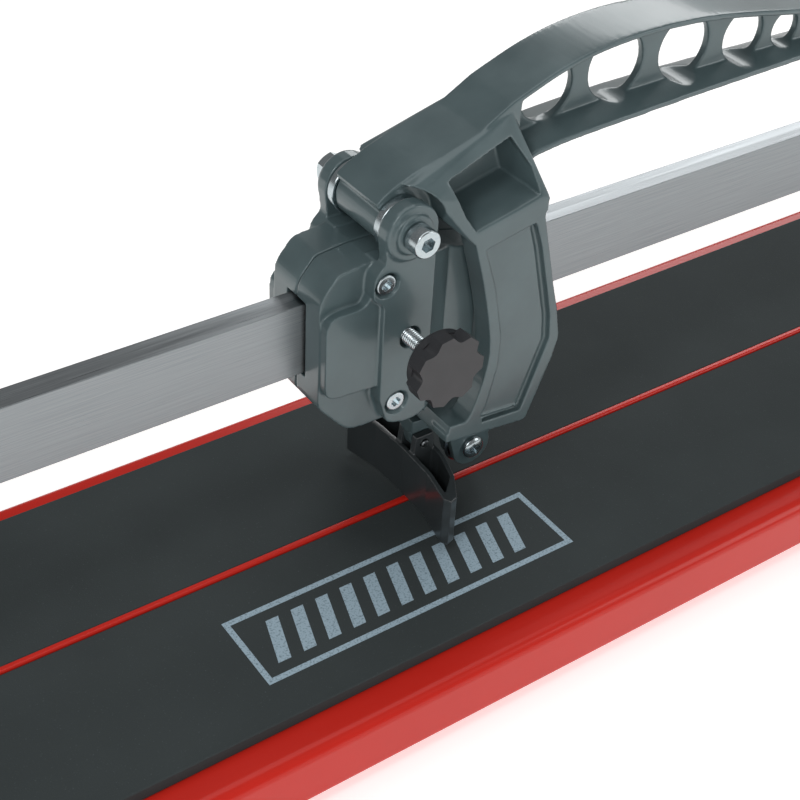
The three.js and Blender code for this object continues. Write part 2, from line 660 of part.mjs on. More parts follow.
function makeHandleCasting() {
  const hub = cylinderY(0, PIVOT_Z, HUB_RADIUS, -HUB_HALF, HUB_HALF, 36);
  const neck = prismY([
    [-10.6, 43], ...curveThrough(NECK_LINE, 28), [62, 76.3], [62, 60],
    [70, 42.8], [66, 40], [40, 27], [20, 30], [11, 28], [0, 34],
  ], -NECK_HALF, NECK_HALF);
  const flare = hull([
    [14, 0, 57], [58, 0, 70], [71, 0, 42], [28, 0, 25],
    ...[-1, 1].flatMap((s) => [
      [0, s * 16.3, 51], [4, s * 20, 52], [8, s * 23, 50.5], [12, s * 26, 45],
      [16, s * NECK_HALF, 57.3], [38, s * NECK_HALF, 63.7], [57, s * NECK_HALF, 70],
      [70, s * NECK_HALF, 44], [14, s * NECK_HALF, 48],
      [31.5, s * LEG_OUTER, 22.5], [72.5, s * LEG_OUTER, 30.5],
      [32, s * LEG_OUTER, 19], [72, s * LEG_OUTER, 24],
      [30, s * LEG_INNER, 22], [74, s * LEG_INNER, 27],
    ]),
  ]);
  const pocket = (s) => hull(
    POCKET_MOUTH.flatMap((mouth, i) => {
      const floor = POCKET_FLOOR[i];
      const beyond = mouth.map((v, k) => v + (v - floor[k]) / 2);
      return [floor, beyond];
    }).map(([x, y, z]) => [x, s * y, z])
  );
  // Room round the ears of the carriage, which the flared neck curves over.
  const arches = [
    cylinderY(0, PIVOT_Z, EAR_ROOM, -32, -NECK_HALF, 40),
    cylinderY(0, PIVOT_Z, EAR_ROOM, NECK_HALF, 32, 40),
  ];
  const panel = [
    [39, 14], [66, 19.5], [70.5, 6], [76.5, -18], [80.5, -35], [82, -49], [68.5, -86], [44, -84],
    [48, -74], [52.5, -54], [52.5, -36], [46.5, -8],
  ];
  const legs = [-1, 1].map((s) => {
    const [y0, y1] = s < 0 ? [-LEG_OUTER, -LEG_INNER] : [LEG_INNER, LEG_OUTER];
    const leg = prismY(legOutline(), y0, y1);
    const [p0, p1] = s < 0 ? [-LEG_OUTER - 1, -LEG_OUTER + 1.6] : [LEG_OUTER - 1.6, LEG_OUTER + 1];
    return cut(leg, prismY(panel, p0, p1));
  });
  const bridge = prismY([[25.1, -88.5], [72, -93.6], [76, -84], [27, -79.5]], -LEG_OUTER, LEG_OUTER);
  let casting = join(makeArm(), gripCore(), neck, flare, hub, ...legs, bridge);
  casting = cut(
    casting,
    pocket(-1),
    pocket(1),
    ...arches,
    cylinderY(0, PIVOT_Z, 6.8, -20, 20, 28),
    cylinderZ(34, 0, 2.8, -100, -70, 16),
    cylinderZ(64, 0, 2.8, -100, -70, 16)
  );
  return casting;
}

// Tang of the casting that the rubber grip is pushed over.
function gripCore() {
  const x0 = GRIP_START - 2;
  const x1 = HANDLE_END - 5;
  return hull([
    ...[-7, 7].flatMap((y) => [[x0, y, 65], [x0, y, 51.5], [x1, y, 64], [x1, y, 50]]),
  ]);
}

function makeGrip() {
  const x0 = GRIP_START + GAP;
  const x1 = HANDLE_END;
  const section = (x, top, low, half) => [
    [x, -half, (top + low) / 2 + 7], [x, half, (top + low) / 2 + 7],
    [x, -half, (top + low) / 2 - 7], [x, half, (top + low) / 2 - 7],
    [x, -half * 0.6, top], [x, half * 0.6, top], [x, -half * 0.6, low], [x, half * 0.6, low],
  ];
  const skin = hull([
    ...section(x0, 70.5, 46, 13.5),
    ...section(x1 - 8, 71, 43.5, 13.5),
    ...section(x1, 67, 47.5, 10),
  ]);
  const hollow = hull([
    ...[-7 - GAP, 7 + GAP].flatMap((y) => [
      [x0 - 3, y, 65.4], [x0 - 3, y, 51.2], [x1 - 5 + GAP, y, 64.4], [x1 - 5 + GAP, y, 49.6],
    ]),
  ]);
  add("handle_grip", cut(skin, hollow), RUBBER, upper);
}

function makeHandle() {
  add("handle_casting", makeHandleCasting(), CASTING, upper);
  makeGrip();
}

// ---- wheel holder, wheel and breaker foot -----------------------------------------------------

const HOLDER_TOP = -93.9 - GAP;

function makeWheelHolder() {
  const forkGap = 2.4;
  const holderHalf = 6;
  const outline = [
    [22, -90], [74, -95.6], [74, -101],
    ...circle(WHEEL_X, WHEEL_Z, 11.2, 10, Math.PI / 8, -Math.PI * 0.85),
    [46, -112], [41, -101.5], [34.5, -101.5],
    ...circle(FOOT_PIN_X, FOOT_PIN_Z, 4.8, 6, 0, -Math.PI),
    [22, -98],
  ];
  const under = [[22, -88.8], [80, -94.9], [80, -60], [22, -60]];
  let holder = prismY(outline, -holderHalf, holderHalf);
  holder = cut(
    holder,
    prismY(under, -20, 20),
    box(40, 80, -forkGap, forkGap, -140, -99),
    box(18, 41, -20, -3.2, -130, -97.5),
    box(18, 41, 3.2, 20, -130, -97.5),
    cylinderY(WHEEL_X, WHEEL_Z, 3.1, -20, 20, 20),
    cylinderY(FOOT_PIN_X, FOOT_PIN_Z, 2.3, -20, 20, 16),
    cylinderZ(34, 0, 2.3, -98, -80, 16),
    cylinderZ(64, 0, 2.3, -99, -80, 16)
  );
  add("wheel_holder", holder, CASTING, upper);

  for (const [x, z, label] of [[34, -79, "left"], [64, -82.4, "right"]]) {
    const head = cylinderZ(x, 0, 4.2, z, z + 3, 16);
    const shank = cylinderZ(x, 0, 2, z - 17, z + 1, 12);
    const hex = prismZ(hexagon(x, 0, 3), z + 1.2, z + 4);
    add(`${label}_holder_screw`, cut(join(head, shank), hex), ZINC, upper);
  }

  const cap = [[0, -3.2], [4.6, -3], [6.2, -1.6], [6.2, 0], [0, 0]];
  const head = turnedY(cap, WHEEL_X, WHEEL_Z, -holderHalf - GAP, 24);
  const shank = cylinderY(WHEEL_X, WHEEL_Z, 2.8, -7, 11.4, 16);
  add("wheel_axle", join(head, shank), ZINC, upper);
  const nut = prismY(hexagon(WHEEL_X, WHEEL_Z, 9), holderHalf + GAP, 11);
  add("axle_nut", cut(nut, cylinderY(WHEEL_X, WHEEL_Z, 3.1, 0, 20, 20)), ZINC, upper);

  const wheel = [
    [3, -1.1], [6, -1.1], [6, -0.8], [WHEEL_RADIUS - 1.2, -0.8], [WHEEL_RADIUS, 0],
    [WHEEL_RADIUS - 1.2, 0.8], [6, 0.8], [6, 1.1], [3, 1.1], [3, -1.1],
  ];
  add("cutting_wheel", turnedY(wheel, WHEEL_X, WHEEL_Z, 0, 30), CARBIDE, upper);
}

// Breaker foot: a hollow bow that presses on the tile at both sides of the score.
function makeFoot() {
  const bottom = -138;
  const top = -110;
  const outline = [
    [21.5, 0], [20.5, -22], [16.5, -41], [18.5, -44.5], [23, -43], [31, -30], [36, -14], [37, 0],
    [36, 14], [31, 30], [23, 43], [18.5, 44.5], [16.5, 41], [20.5, 22],
  ];
  const wall = 2.4;
  const inner = [
    [21.5 + wall, 0], [20.5 + wall, -22], [19.8, -38], [29, -29], [33.6, -14], [34.6, 0],
    [33.6, 14], [29, 29], [19.8, 38], [20.5 + wall, 22],
  ];
  let foot = cut(prismZ(outline, bottom, top), prismZ(inner, bottom + 6, top + 1));
  const lugs = [-1, 1].map((s) => {
    const [y0, y1] = s < 0 ? [-7.3, -3.6] : [3.6, 7.3];
    return prismY([[22.5, -113], [24, -100], [34, -100], [35.5, -113], [35.5, -133], [22.5, -133]], y0, y1);
  });
  foot = cut(join(foot, ...lugs), cylinderY(FOOT_PIN_X, FOOT_PIN_Z, 2.3, -20, 20, 16));
  add("breaker_foot", foot, CASTING, upper);
  add("foot_pin", cylinderY(FOOT_PIN_X, FOOT_PIN_Z, 2, -8.4, 8.4, 16), STEEL, upper);
}

makeBase();
makeRail();
makePost(-1);
makePost(1);
makeFence();
makeStop();
makeCarriage();
makeLock();
makeHandle();
makeWheelHolder();
makeFoot();

export default object;
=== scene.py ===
import math

import bmesh
import bpy
from mathutils import Matrix, Vector


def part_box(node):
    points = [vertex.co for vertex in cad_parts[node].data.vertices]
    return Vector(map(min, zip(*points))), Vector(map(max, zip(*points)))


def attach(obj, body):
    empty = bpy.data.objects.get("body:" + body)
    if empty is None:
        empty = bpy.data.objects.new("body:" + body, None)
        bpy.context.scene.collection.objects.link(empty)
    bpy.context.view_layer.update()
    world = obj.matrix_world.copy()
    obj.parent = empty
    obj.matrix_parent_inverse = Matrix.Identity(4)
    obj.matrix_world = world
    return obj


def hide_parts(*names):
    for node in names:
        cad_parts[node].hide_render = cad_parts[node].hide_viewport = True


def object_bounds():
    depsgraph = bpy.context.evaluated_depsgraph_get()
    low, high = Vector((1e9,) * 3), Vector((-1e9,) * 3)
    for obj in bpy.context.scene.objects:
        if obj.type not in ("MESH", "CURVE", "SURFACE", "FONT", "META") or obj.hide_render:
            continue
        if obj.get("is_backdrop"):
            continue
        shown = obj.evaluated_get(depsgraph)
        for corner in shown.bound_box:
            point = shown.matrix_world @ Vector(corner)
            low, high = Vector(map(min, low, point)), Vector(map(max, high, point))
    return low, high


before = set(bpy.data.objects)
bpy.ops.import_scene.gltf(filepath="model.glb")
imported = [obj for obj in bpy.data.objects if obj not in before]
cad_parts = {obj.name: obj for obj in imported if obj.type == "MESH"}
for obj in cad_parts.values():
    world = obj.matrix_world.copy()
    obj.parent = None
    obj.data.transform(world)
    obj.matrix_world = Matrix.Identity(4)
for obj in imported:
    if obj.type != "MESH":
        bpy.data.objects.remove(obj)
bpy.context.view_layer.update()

# ---- Base pan ------------------------------------------------------------------------------------
# The long tray that everything stands on: 2.2 mm steel sheet, roll-formed into a deck with a
# breaking ridge along its middle, rounded shoulders, skirts and inward lips, then powder coated.

MM = 0.001


def linear(code):
    """An sRGB hex colour as linear RGBA."""
    parts = [int(code[i:i + 2], 16) / 255 for i in (0, 2, 4)]
    return [c / 12.92 if c <= 0.04045 else ((c + 0.055) / 1.055) ** 2.4 for c in parts] + [1.0]


def add_node(material, kind, sockets=None, links=None, **settings):
    """Adds one shader node: its settings, the values of its sockets, and what feeds its inputs."""
    tree = material.node_tree
    made = tree.nodes.new(kind)
    for name, value in settings.items():
        setattr(made, name, value)
    for key, value in (sockets or {}).items():
        made.inputs[key].default_value = value
    for key, source in (links or {}).items():
        tree.links.new(source, made.inputs[key])
    return made


def new_finish(name, **values):
    """A material whose shader sockets hold these constants. Returns it and its shader."""
    material = bpy.data.materials.new(name)
    material.use_nodes = True
    shader = material.node_tree.nodes["Principled BSDF"]
    for key, value in values.items():
        shader.inputs[key.replace("_", " ")].default_value = value
    return material, shader


def feed(material, shader, socket, source):
    """Joins an output to one of the shader's sockets."""
    material.node_tree.links.new(source, shader.inputs[socket])


def prism(outline, axis, start, end, bm=None):
    """A closed outline in millimetres, thick along one axis. Its two numbers are the other axes."""
    bm = bm or bmesh.new()
    order = {"X": (2, 0, 1), "Y": (0, 2, 1), "Z": (0, 1, 2)}[axis]
    rings = []
    for depth in (start, end):
        points = [[(a, b, depth)[i] for i in order] for a, b in outline]
        rings.append([bm.verts.new(Vector(p) * MM) for p in points])
    bm.faces.new(rings[0])
    bm.faces.new(rings[1])
    count = len(outline)
    for i in range(count):
        j = (i + 1) % count
        bm.faces.new((rings[0][i], rings[0][j], rings[1][j], rings[1][i]))
    return bm


def as_piece(name, bm):
    """Turns a bmesh into an object with its normals outwards."""
    bmesh.ops.remove_doubles(bm, verts=bm.verts, dist=1e-7)
    bmesh.ops.recalc_face_normals(bm, faces=bm.faces)
    mesh = bpy.data.meshes.new(name)
    bm.to_mesh(mesh)
    bm.free()
    piece = bpy.data.objects.new(name, mesh)
    bpy.context.scene.collection.objects.link(piece)
    return piece


def bake(piece):
    """Makes the piece's modifiers part of its mesh."""
    result = piece.evaluated_get(bpy.context.evaluated_depsgraph_get())
    mesh = bpy.data.meshes.new_from_object(result)
    piece.modifiers.clear()
    piece.data = mesh


def carve(piece, *tools, how="DIFFERENCE"):
    """Cuts tools out of a piece, or joins them to it, and removes them."""
    for tool in tools:
        modifier = piece.modifiers.new("carve", "BOOLEAN")
        modifier.object = tool
        modifier.operation = how
        modifier.solver = "EXACT"
        bake(piece)
        bpy.data.objects.remove(tool)
    return piece


def soften(piece, radius, segments=3, crease=32):
    """Rounds the edges that turn more than crease degrees, as tumbling or coating leaves them."""
    bm = bmesh.new()
    bm.from_mesh(piece.data)
    bmesh.ops.remove_doubles(bm, verts=bm.verts, dist=1e-7)
    limit = math.radians(crease)
    bmesh.ops.dissolve_limit(bm, angle_limit=math.radians(0.6), verts=bm.verts, edges=bm.edges)
    edges = [e for e in bm.edges if len(e.link_faces) == 2 and e.calc_face_angle(0) > limit]
    if radius and edges:
        bmesh.ops.bevel(
            bm, geom=edges, offset=radius * MM, segments=segments, profile=0.5,
            affect="EDGES", clamp_overlap=True,
        )
    for face in bm.faces:
        face.smooth = True
    for edge in bm.edges:
        edge.smooth = len(edge.link_faces) != 2 or edge.calc_face_angle(0) < limit
    bm.to_mesh(piece.data)
    bm.free()
    shading = piece.modifiers.new("shading", "WEIGHTED_NORMAL")
    shading.keep_sharp = True
    bake(piece)
    return piece


def fit(piece, material, body, slot, *nodes):
    """Gives a piece its finish and its body, and hides the CAD nodes that it stands for."""
    piece.data.materials.clear()
    piece.data.materials.append(material)
    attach(piece, body)
    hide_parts(*nodes)
    return piece


def span(node):
    """Lowest and highest corner of a CAD node, in millimetres."""
    return [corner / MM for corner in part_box(node)]


def arc(a, b, radius, start, end, steps):
    """Points on a circle between two angles in degrees."""
    angles = [math.radians(start + (end - start) * i / steps) for i in range(steps + 1)]
    return [(a + radius * math.cos(t), b + radius * math.sin(t)) for t in angles]


# Polyester powder coat on steel, sprayed and baked: a deep red with a glossy, faintly rippled skin
# (orange peel about 1.5 mm wide, a few microns high) that picks up pale reflections at its edges.
powder_red, powder_shader = new_finish(
    "red_powder_coat", Roughness=0.26, IOR=1.5, Specular_IOR_Level=0.25, Coat_Weight=0.08,
    Coat_Roughness=0.05,
)
place = add_node(powder_red, "ShaderNodeTexCoord").outputs["Object"]
cloud = add_node(
    powder_red, "ShaderNodeTexNoise", {"Scale": 1 / (60 * MM), "Detail": 3.0}, {"Vector": place}
)
tint = add_node(powder_red, "ShaderNodeValToRGB", links={"Fac": cloud.outputs["Fac"]})
tint.color_ramp.elements[0].color = linear("c4251b")
tint.color_ramp.elements[1].color = linear("d02b20")
feed(powder_red, powder_shader, "Base Color", tint.outputs["Color"])
ripple = add_node(
    powder_red, "ShaderNodeTexNoise", {"Scale": 1 / (1.5 * MM), "Detail": 1.0}, {"Vector": place}
)
relief = add_node(
    powder_red, "ShaderNodeBump", {"Strength": 0.12, "Distance": 0.02 * MM},
    {"Height": ripple.outputs["Fac"]},
)
feed(powder_red, powder_shader, "Normal", relief.outputs["Normal"])

SHEET = 2.2
SHOULDER = 6.0
LIP = 20.0
pan_low, pan_high = span("base_pan")
pad_low, pad_high = span("front_pad")
half_width = pan_high.y
deck = pad_low.z - 0.3
ridge_half = 1.8
ridge_round = 1.2

right_side = arc(ridge_half - ridge_round, pan_high.z - ridge_round, ridge_round, 90, 0, 5)
right_side += [(ridge_half, deck + 1.0)] + arc(ridge_half + 1.0, deck + 1.0, 1.0, 180, 270, 4)
right_side += arc(half_width - SHOULDER, deck - SHOULDER, SHOULDER, 90, 0, 14)
right_side += arc(half_width - 3.5, pan_low.z + 3.5, 3.5, 0, -90, 6)
right_side += [(half_width - LIP, pan_low.z), (half_width - LIP, pan_low.z + SHEET)]
right_side += arc(half_width - 3.5, pan_low.z + 3.5, 3.5 - SHEET, -90, 0, 6)
right_side += arc(half_width - SHOULDER, deck - SHOULDER, SHOULDER - SHEET, 0, 90, 14)
right_side += [(ridge_half, deck - SHEET)]
left_side = [(-y, z) for y, z in reversed(right_side)]
pan = as_piece("base_pan_pressed", prism(right_side + left_side, "X", pan_low.x, pan_high.x))
soften(pan, 0.0)
fit(pan, powder_red, "base", "powder_coat_red", "base_pan")

# ---- End caps and feet ---------------------------------------------------------------------------
# Each end of the tray is closed by a moulded cap whose two plugs press into the hollow, and the
# tray stands on four rubber feet screwed under its lips.


def carried(name, node, radius, segments=3):
    """A copy of a CAD node's shape with its edges rounded."""
    piece = bpy.data.objects.new(name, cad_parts[node].data.copy())
    bpy.context.scene.collection.objects.link(piece)
    return soften(piece, radius, segments)


def turned(name, profile, centre, axis, steps=64):
    """A profile of (radius, height) in millimetres, turned about an axis through centre."""
    bm = bmesh.new()
    rings = []
    for radius, height in profile:
        around = [2 * math.pi * i / steps for i in range(steps if radius else 1)]
        ring = [(radius * math.cos(t), radius * math.sin(t), height) for t in around]
        rings.append([bm.verts.new(Vector(p) * MM) for p in ring])
    pairs = list(zip(rings, rings[1:]))
    if profile[0][0] and profile[-1][0]:
        pairs.append((rings[-1], rings[0]))
    for low, high in pairs:
        for i in range(steps):
            j = (i + 1) % steps
            corners = [low[i % len(low)], low[j % len(low)]]
            corners += [high[j % len(high)], high[i % len(high)]]
            bm.faces.new(tuple(dict.fromkeys(corners)))
    if axis == "Y":
        bmesh.ops.transform(bm, matrix=Matrix.Rotation(math.radians(-90), 4, "X"), verts=bm.verts)
    bmesh.ops.translate(bm, vec=Vector(centre) * MM, verts=bm.verts)
    return as_piece(name, bm)


# Glass-filled nylon, injection moulded and spark-eroded in the tool: near black, half matt, with
# a fine even grain of about 0.5 mm that keeps highlights broad and soft.
nylon, nylon_shader = new_finish("black_moulded_nylon", Roughness=0.4, IOR=1.53)
place = add_node(nylon, "ShaderNodeTexCoord").outputs["Object"]
cloud = add_node(nylon, "ShaderNodeTexNoise", {"Scale": 1 / (9 * MM), "Detail": 3.0}, {"Vector": place})
tint = add_node(nylon, "ShaderNodeValToRGB", links={"Fac": cloud.outputs["Fac"]})
tint.color_ramp.elements[0].color = linear("26272a")
tint.color_ramp.elements[1].color = linear("343437")
feed(nylon, nylon_shader, "Base Color", tint.outputs["Color"])
grain = add_node(nylon, "ShaderNodeTexNoise", {"Scale": 1 / (0.5 * MM), "Detail": 2.0}, {"Vector": place})
relief = add_node(
    nylon, "ShaderNodeBump", {"Strength": 0.25, "Distance": 0.03 * MM},
    {"Height": grain.outputs["Fac"]},
)
feed(nylon, nylon_shader, "Normal", relief.outputs["Normal"])

# Moulded nitrile rubber: deep grey-black with a dry, almost matt skin and a dusty fine grain.
rubber, rubber_shader = new_finish("black_moulded_rubber", Roughness=0.72, IOR=1.52)
place = add_node(rubber, "ShaderNodeTexCoord").outputs["Object"]
dust = add_node(rubber, "ShaderNodeTexNoise", {"Scale": 1 / (1.2 * MM), "Detail": 4.0}, {"Vector": place})
tint = add_node(rubber, "ShaderNodeValToRGB", links={"Fac": dust.outputs["Fac"]})
tint.color_ramp.elements[0].color = linear("1a1a1b")
tint.color_ramp.elements[1].color = linear("2a2a2b")
feed(rubber, rubber_shader, "Base Color", tint.outputs["Color"])
relief = add_node(
    rubber, "ShaderNodeBump", {"Strength": 0.3, "Distance": 0.05 * MM},
    {"Height": dust.outputs["Fac"]},
)
feed(rubber, rubber_shader, "Normal", relief.outputs["Normal"])

for side in ("left", "right"):
    cap = carried(f"{side}_end_cap_moulded", f"{side}_end_cap", 1.2)
    fit(cap, nylon, "base", "black_nylon", f"{side}_end_cap")
    for row in ("front", "rear"):
        low, high = span(f"{side}_{row}_foot")
        profile = [(0, 1.2), (3.4, 1.2), (3.8, 0), (8.4, 0), (9.4, 0.5), (10, 1.4)]
        profile += [(9.2, 5.6), (8.6, high.z), (0, high.z)]
        centre = ((low.x + high.x) / 2, (low.y + high.y) / 2, 0)
        foot = soften(turned(f"{side}_{row}_foot_rubber", profile, centre, "Z"), 0.25)
        fit(foot, rubber, "base", "rubber_black", f"{side}_{row}_foot")

# ---- Pads ----------------------------------------------------------------------------------------
# Two strips of closed-cell foam, 7 mm thick, glued to the deck on each side of the ridge: they give
# under the breaker foot so that a scored tile snaps over the ridge.

# EVA foam, die cut from a split sheet: charcoal and matt, with open cells about 0.8 mm wide on the split
# face and a slow drift in tone between them. Paler specks are painted into the colour over some cells as
# painted glints of light.
foam, foam_shader = new_finish("charcoal_eva_foam", Roughness=0.82, IOR=1.45, Specular_IOR_Level=0.35)
place = add_node(foam, "ShaderNodeTexCoord").outputs["Object"]
drift = add_node(foam, "ShaderNodeTexNoise", {"Scale": 1 / (45 * MM), "Detail": 4.0}, {"Vector": place})
base_tint = add_node(foam, "ShaderNodeValToRGB", links={"Fac": drift.outputs["Fac"]})
base_tint.color_ramp.elements[0].color = linear("313738")
base_tint.color_ramp.elements[1].color = linear("3a4142")
cells = add_node(foam, "ShaderNodeTexNoise", {"Scale": 1 / (0.8 * MM), "Detail": 2.0}, {"Vector": place})
# Painted glints: where the cell noise is high, the colour turns to paler specks.
painted_glint_mask = add_node(foam, "ShaderNodeMapRange", {1: 0.66, 2: 0.86}, {0: cells.outputs["Fac"]})
foam_with_painted_glints = add_node(
    foam, "ShaderNodeMix", {7: linear("535b5c")},
    {0: painted_glint_mask.outputs[0], 6: base_tint.outputs["Color"]}, data_type="RGBA",
)
feed(foam, foam_shader, "Base Color", foam_with_painted_glints.outputs[2])
relief = add_node(
    foam, "ShaderNodeBump", {"Strength": 0.5, "Distance": 0.12 * MM},
    {"Height": cells.outputs["Fac"]},
)
feed(foam, foam_shader, "Normal", relief.outputs["Normal"])

for row in ("front", "rear"):
    low, high = span(f"{row}_pad")
    outline = [(low.x, low.y), (high.x, low.y), (high.x, high.y), (low.x, high.y)]
    pad = as_piece(f"{row}_pad_foam", prism(outline, "Z", low.z, high.z))
    soften(pad, 0.7, 4)
    fit(pad, foam, "base", "pad_foam", f"{row}_pad")

# ---- Print on the front pad ----------------------------------------------------------------------
# A plain screen-printed panel on the front pad: an even frame round a row of slanted bars, in a
# thin coat of pale ink that lets the foam's cells show through as small dark gaps.

# Pale blue-grey screen ink on foam: flat and dry, broken up where it bridges cells 1 mm wide.
ink, ink_shader = new_finish("grey_blue_screen_ink", Roughness=0.7, IOR=1.45)
place = add_node(ink, "ShaderNodeTexCoord").outputs["Object"]
cells = add_node(ink, "ShaderNodeTexNoise", {"Scale": 1 / (1.0 * MM), "Detail": 3.0}, {"Vector": place})
tint = add_node(ink, "ShaderNodeValToRGB", links={"Fac": cells.outputs["Fac"]})
tint.color_ramp.elements[0].position = 0.28
tint.color_ramp.elements[0].color = linear("6b7d88")
tint.color_ramp.elements[1].position = 0.5
tint.color_ramp.elements[1].color = linear("9db3c0")
feed(ink, ink_shader, "Base Color", tint.outputs["Color"])

INK = 0.06
PANEL_X = (-241.0, -68.0)
PANEL_Y = (-70.0, -27.0)
FRAME_LINE = 3.0
print_top = pad_high.z + INK
bm = bmesh.new()
(x0, x1), (y0, y1) = PANEL_X, PANEL_Y
strips = [(x0, x1, y0, y0 + FRAME_LINE), (x0, x1, y1 - FRAME_LINE, y1)]
strips += [(x0, x0 + FRAME_LINE, y0 + FRAME_LINE, y1 - FRAME_LINE)]
strips += [(x1 - FRAME_LINE, x1, y0 + FRAME_LINE, y1 - FRAME_LINE)]
for a0, a1, b0, b1 in strips:
    prism([(a0, b0), (a1, b0), (a1, b1), (a0, b1)], "Z", pad_high.z, print_top, bm)
BARS = 11
BAR_INSET = 9
BAR_SLANT = 8
step = (x1 - x0 - 26) / BARS
low_edge, high_edge = y0 + BAR_INSET, y1 - BAR_INSET
for i in range(BARS):
    left = x0 + 10 + step * i
    right = left + step / 2
    bar = [(left, low_edge), (right, low_edge)]
    bar += [(right + BAR_SLANT, high_edge), (left + BAR_SLANT, high_edge)]
    prism(bar, "Z", pad_high.z, print_top, bm)
printed = as_piece("front_pad_print", bm)
printed.data.materials.append(ink)
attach(printed, "base")

# ---- Rail ----------------------------------------------------------------------------------------
# The guide rail: one 12 x 36 mm bar of bright drawn steel, sawn to length, its narrow faces ground
# along their length and the corners broken, bolted through at both ends.

# Bright drawn carbon steel, ground lengthwise: cool grey metal whose fine scratches (about 0.15 mm
# apart, drawn 0.5 mm wide so that they show) stretch each highlight along the bar.
drawn, drawn_shader = new_finish("bright_drawn_steel", Metallic=1.0, Anisotropic=0.55)
place = add_node(drawn, "ShaderNodeTexCoord").outputs["Object"]
STREAK_LENGTH, STREAK_WIDTH = 45, 0.5
stretched = add_node(
    drawn, "ShaderNodeMapping",
    {"Scale": (1 / (STREAK_LENGTH * MM), 1 / (STREAK_WIDTH * MM), 1 / (STREAK_WIDTH * MM))},
    {"Vector": place},
)
streaks = add_node(
    drawn, "ShaderNodeTexNoise", {"Scale": 1.0, "Detail": 4.0, "Roughness": 0.6},
    {"Vector": stretched.outputs[0]},
)
tint = add_node(drawn, "ShaderNodeValToRGB", links={"Fac": streaks.outputs["Fac"]})
tint.color_ramp.elements[0].position = 0.3
tint.color_ramp.elements[0].color = linear("888d90")
tint.color_ramp.elements[1].position = 0.7
tint.color_ramp.elements[1].color = linear("a1a6a9")
feed(drawn, drawn_shader, "Base Color", tint.outputs["Color"])
rough = add_node(
    drawn, "ShaderNodeMapRange", {1: 0.3, 2: 0.7, 3: 0.26, 4: 0.44}, {0: streaks.outputs["Fac"]}
)
feed(drawn, drawn_shader, "Roughness", rough.outputs[0])
relief = add_node(
    drawn, "ShaderNodeBump", {"Strength": 0.22, "Distance": 0.03 * MM},
    {"Height": streaks.outputs["Fac"]},
)
feed(drawn, drawn_shader, "Normal", relief.outputs["Normal"])

rail_low, rail_high = span("rail")
outline = [(rail_low.y, rail_low.z), (rail_high.y, rail_low.z)]
outline += [(rail_high.y, rail_high.z), (rail_low.y, rail_high.z)]
rail = as_piece("rail_drawn", prism(outline, "X", rail_low.x, rail_high.x))
for side in ("left", "right"):
    for number in (1, 2):
        low, high = span(f"{side}_rail_bolt_{number}")
        centre = ((low.x + high.x) / 2, 0, (low.z + high.z) / 2)
        carve(rail, turned("drill", [(0, -9), (4.3, -9), (4.3, 9), (0, 9)], centre, "Y", 32))
soften(rail, 0.7, 3)
fit(rail, drawn, "base", "bright_steel", "rail")

# ---- Posts ---------------------------------------------------------------------------------------
# Two die-cast posts carry the rail: a wide foot on the deck, a waisted column and a fork that grips
# the bar, with two bolts through the fork and two screws down into the deck.

# Die-cast zinc-aluminium, shot-blasted and painted slate grey: satin, slightly uneven in tone, with
# a faint cast grain (0.9 mm) and soft bright lines where fillets catch the light.
slate, slate_shader = new_finish(
    "slate_painted_casting", Metallic=0.2, IOR=1.5, Coat_Weight=0.45, Coat_Roughness=0.13,
)
place = add_node(slate, "ShaderNodeTexCoord").outputs["Object"]
cloud = add_node(slate, "ShaderNodeTexNoise", {"Scale": 1 / (22 * MM), "Detail": 4.0}, {"Vector": place})
tint = add_node(slate, "ShaderNodeValToRGB", links={"Fac": cloud.outputs["Fac"]})
tint.color_ramp.elements[0].position = 0.3
tint.color_ramp.elements[0].color = linear("4d5e61")
tint.color_ramp.elements[1].position = 0.72
tint.color_ramp.elements[1].color = linear("58696c")
feed(slate, slate_shader, "Base Color", tint.outputs["Color"])
rough = add_node(slate, "ShaderNodeMapRange", {1: 0.3, 2: 0.7, 3: 0.32, 4: 0.42}, {0: cloud.outputs["Fac"]})
feed(slate, slate_shader, "Roughness", rough.outputs[0])
grain = add_node(slate, "ShaderNodeTexNoise", {"Scale": 1 / (0.9 * MM), "Detail": 3.0}, {"Vector": place})
relief = add_node(
    slate, "ShaderNodeBump", {"Strength": 0.16, "Distance": 0.04 * MM},
    {"Height": grain.outputs["Fac"]},
)
feed(slate, slate_shader, "Normal", relief.outputs["Normal"])


def cast(name, node, voxel, passes, most_faces, *tools):
    """A casting: the CAD node's solid with tools cut out of it, then remeshed and relaxed so that
    every edge and corner gets the fillet of a cast part."""
    piece = bpy.data.objects.new(name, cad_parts[node].data.copy())
    bpy.context.scene.collection.objects.link(piece)
    bm = bmesh.new()
    bm.from_mesh(piece.data)
    bmesh.ops.remove_doubles(bm, verts=bm.verts, dist=1e-6)
    bm.to_mesh(piece.data)
    bm.free()
    carve(piece, *tools)
    skin = piece.modifiers.new("skin", "REMESH")
    skin.mode = "VOXEL"
    skin.voxel_size = voxel * MM
    relax = piece.modifiers.new("relax", "SMOOTH")
    relax.factor = 0.5
    relax.iterations = passes
    bake(piece)
    count = 2 * len(piece.data.polygons)
    if count > most_faces:
        thin = piece.modifiers.new("thin", "DECIMATE")
        thin.ratio = most_faces / count
        bake(piece)
    for face in piece.data.polygons:
        face.use_smooth = True
    return piece


def hexagon(a, b, flats, turn=0):
    """A hexagon that is flats millimetres across its flats."""
    return arc(a, b, flats / math.sqrt(3), turn, turn + 300, 5)


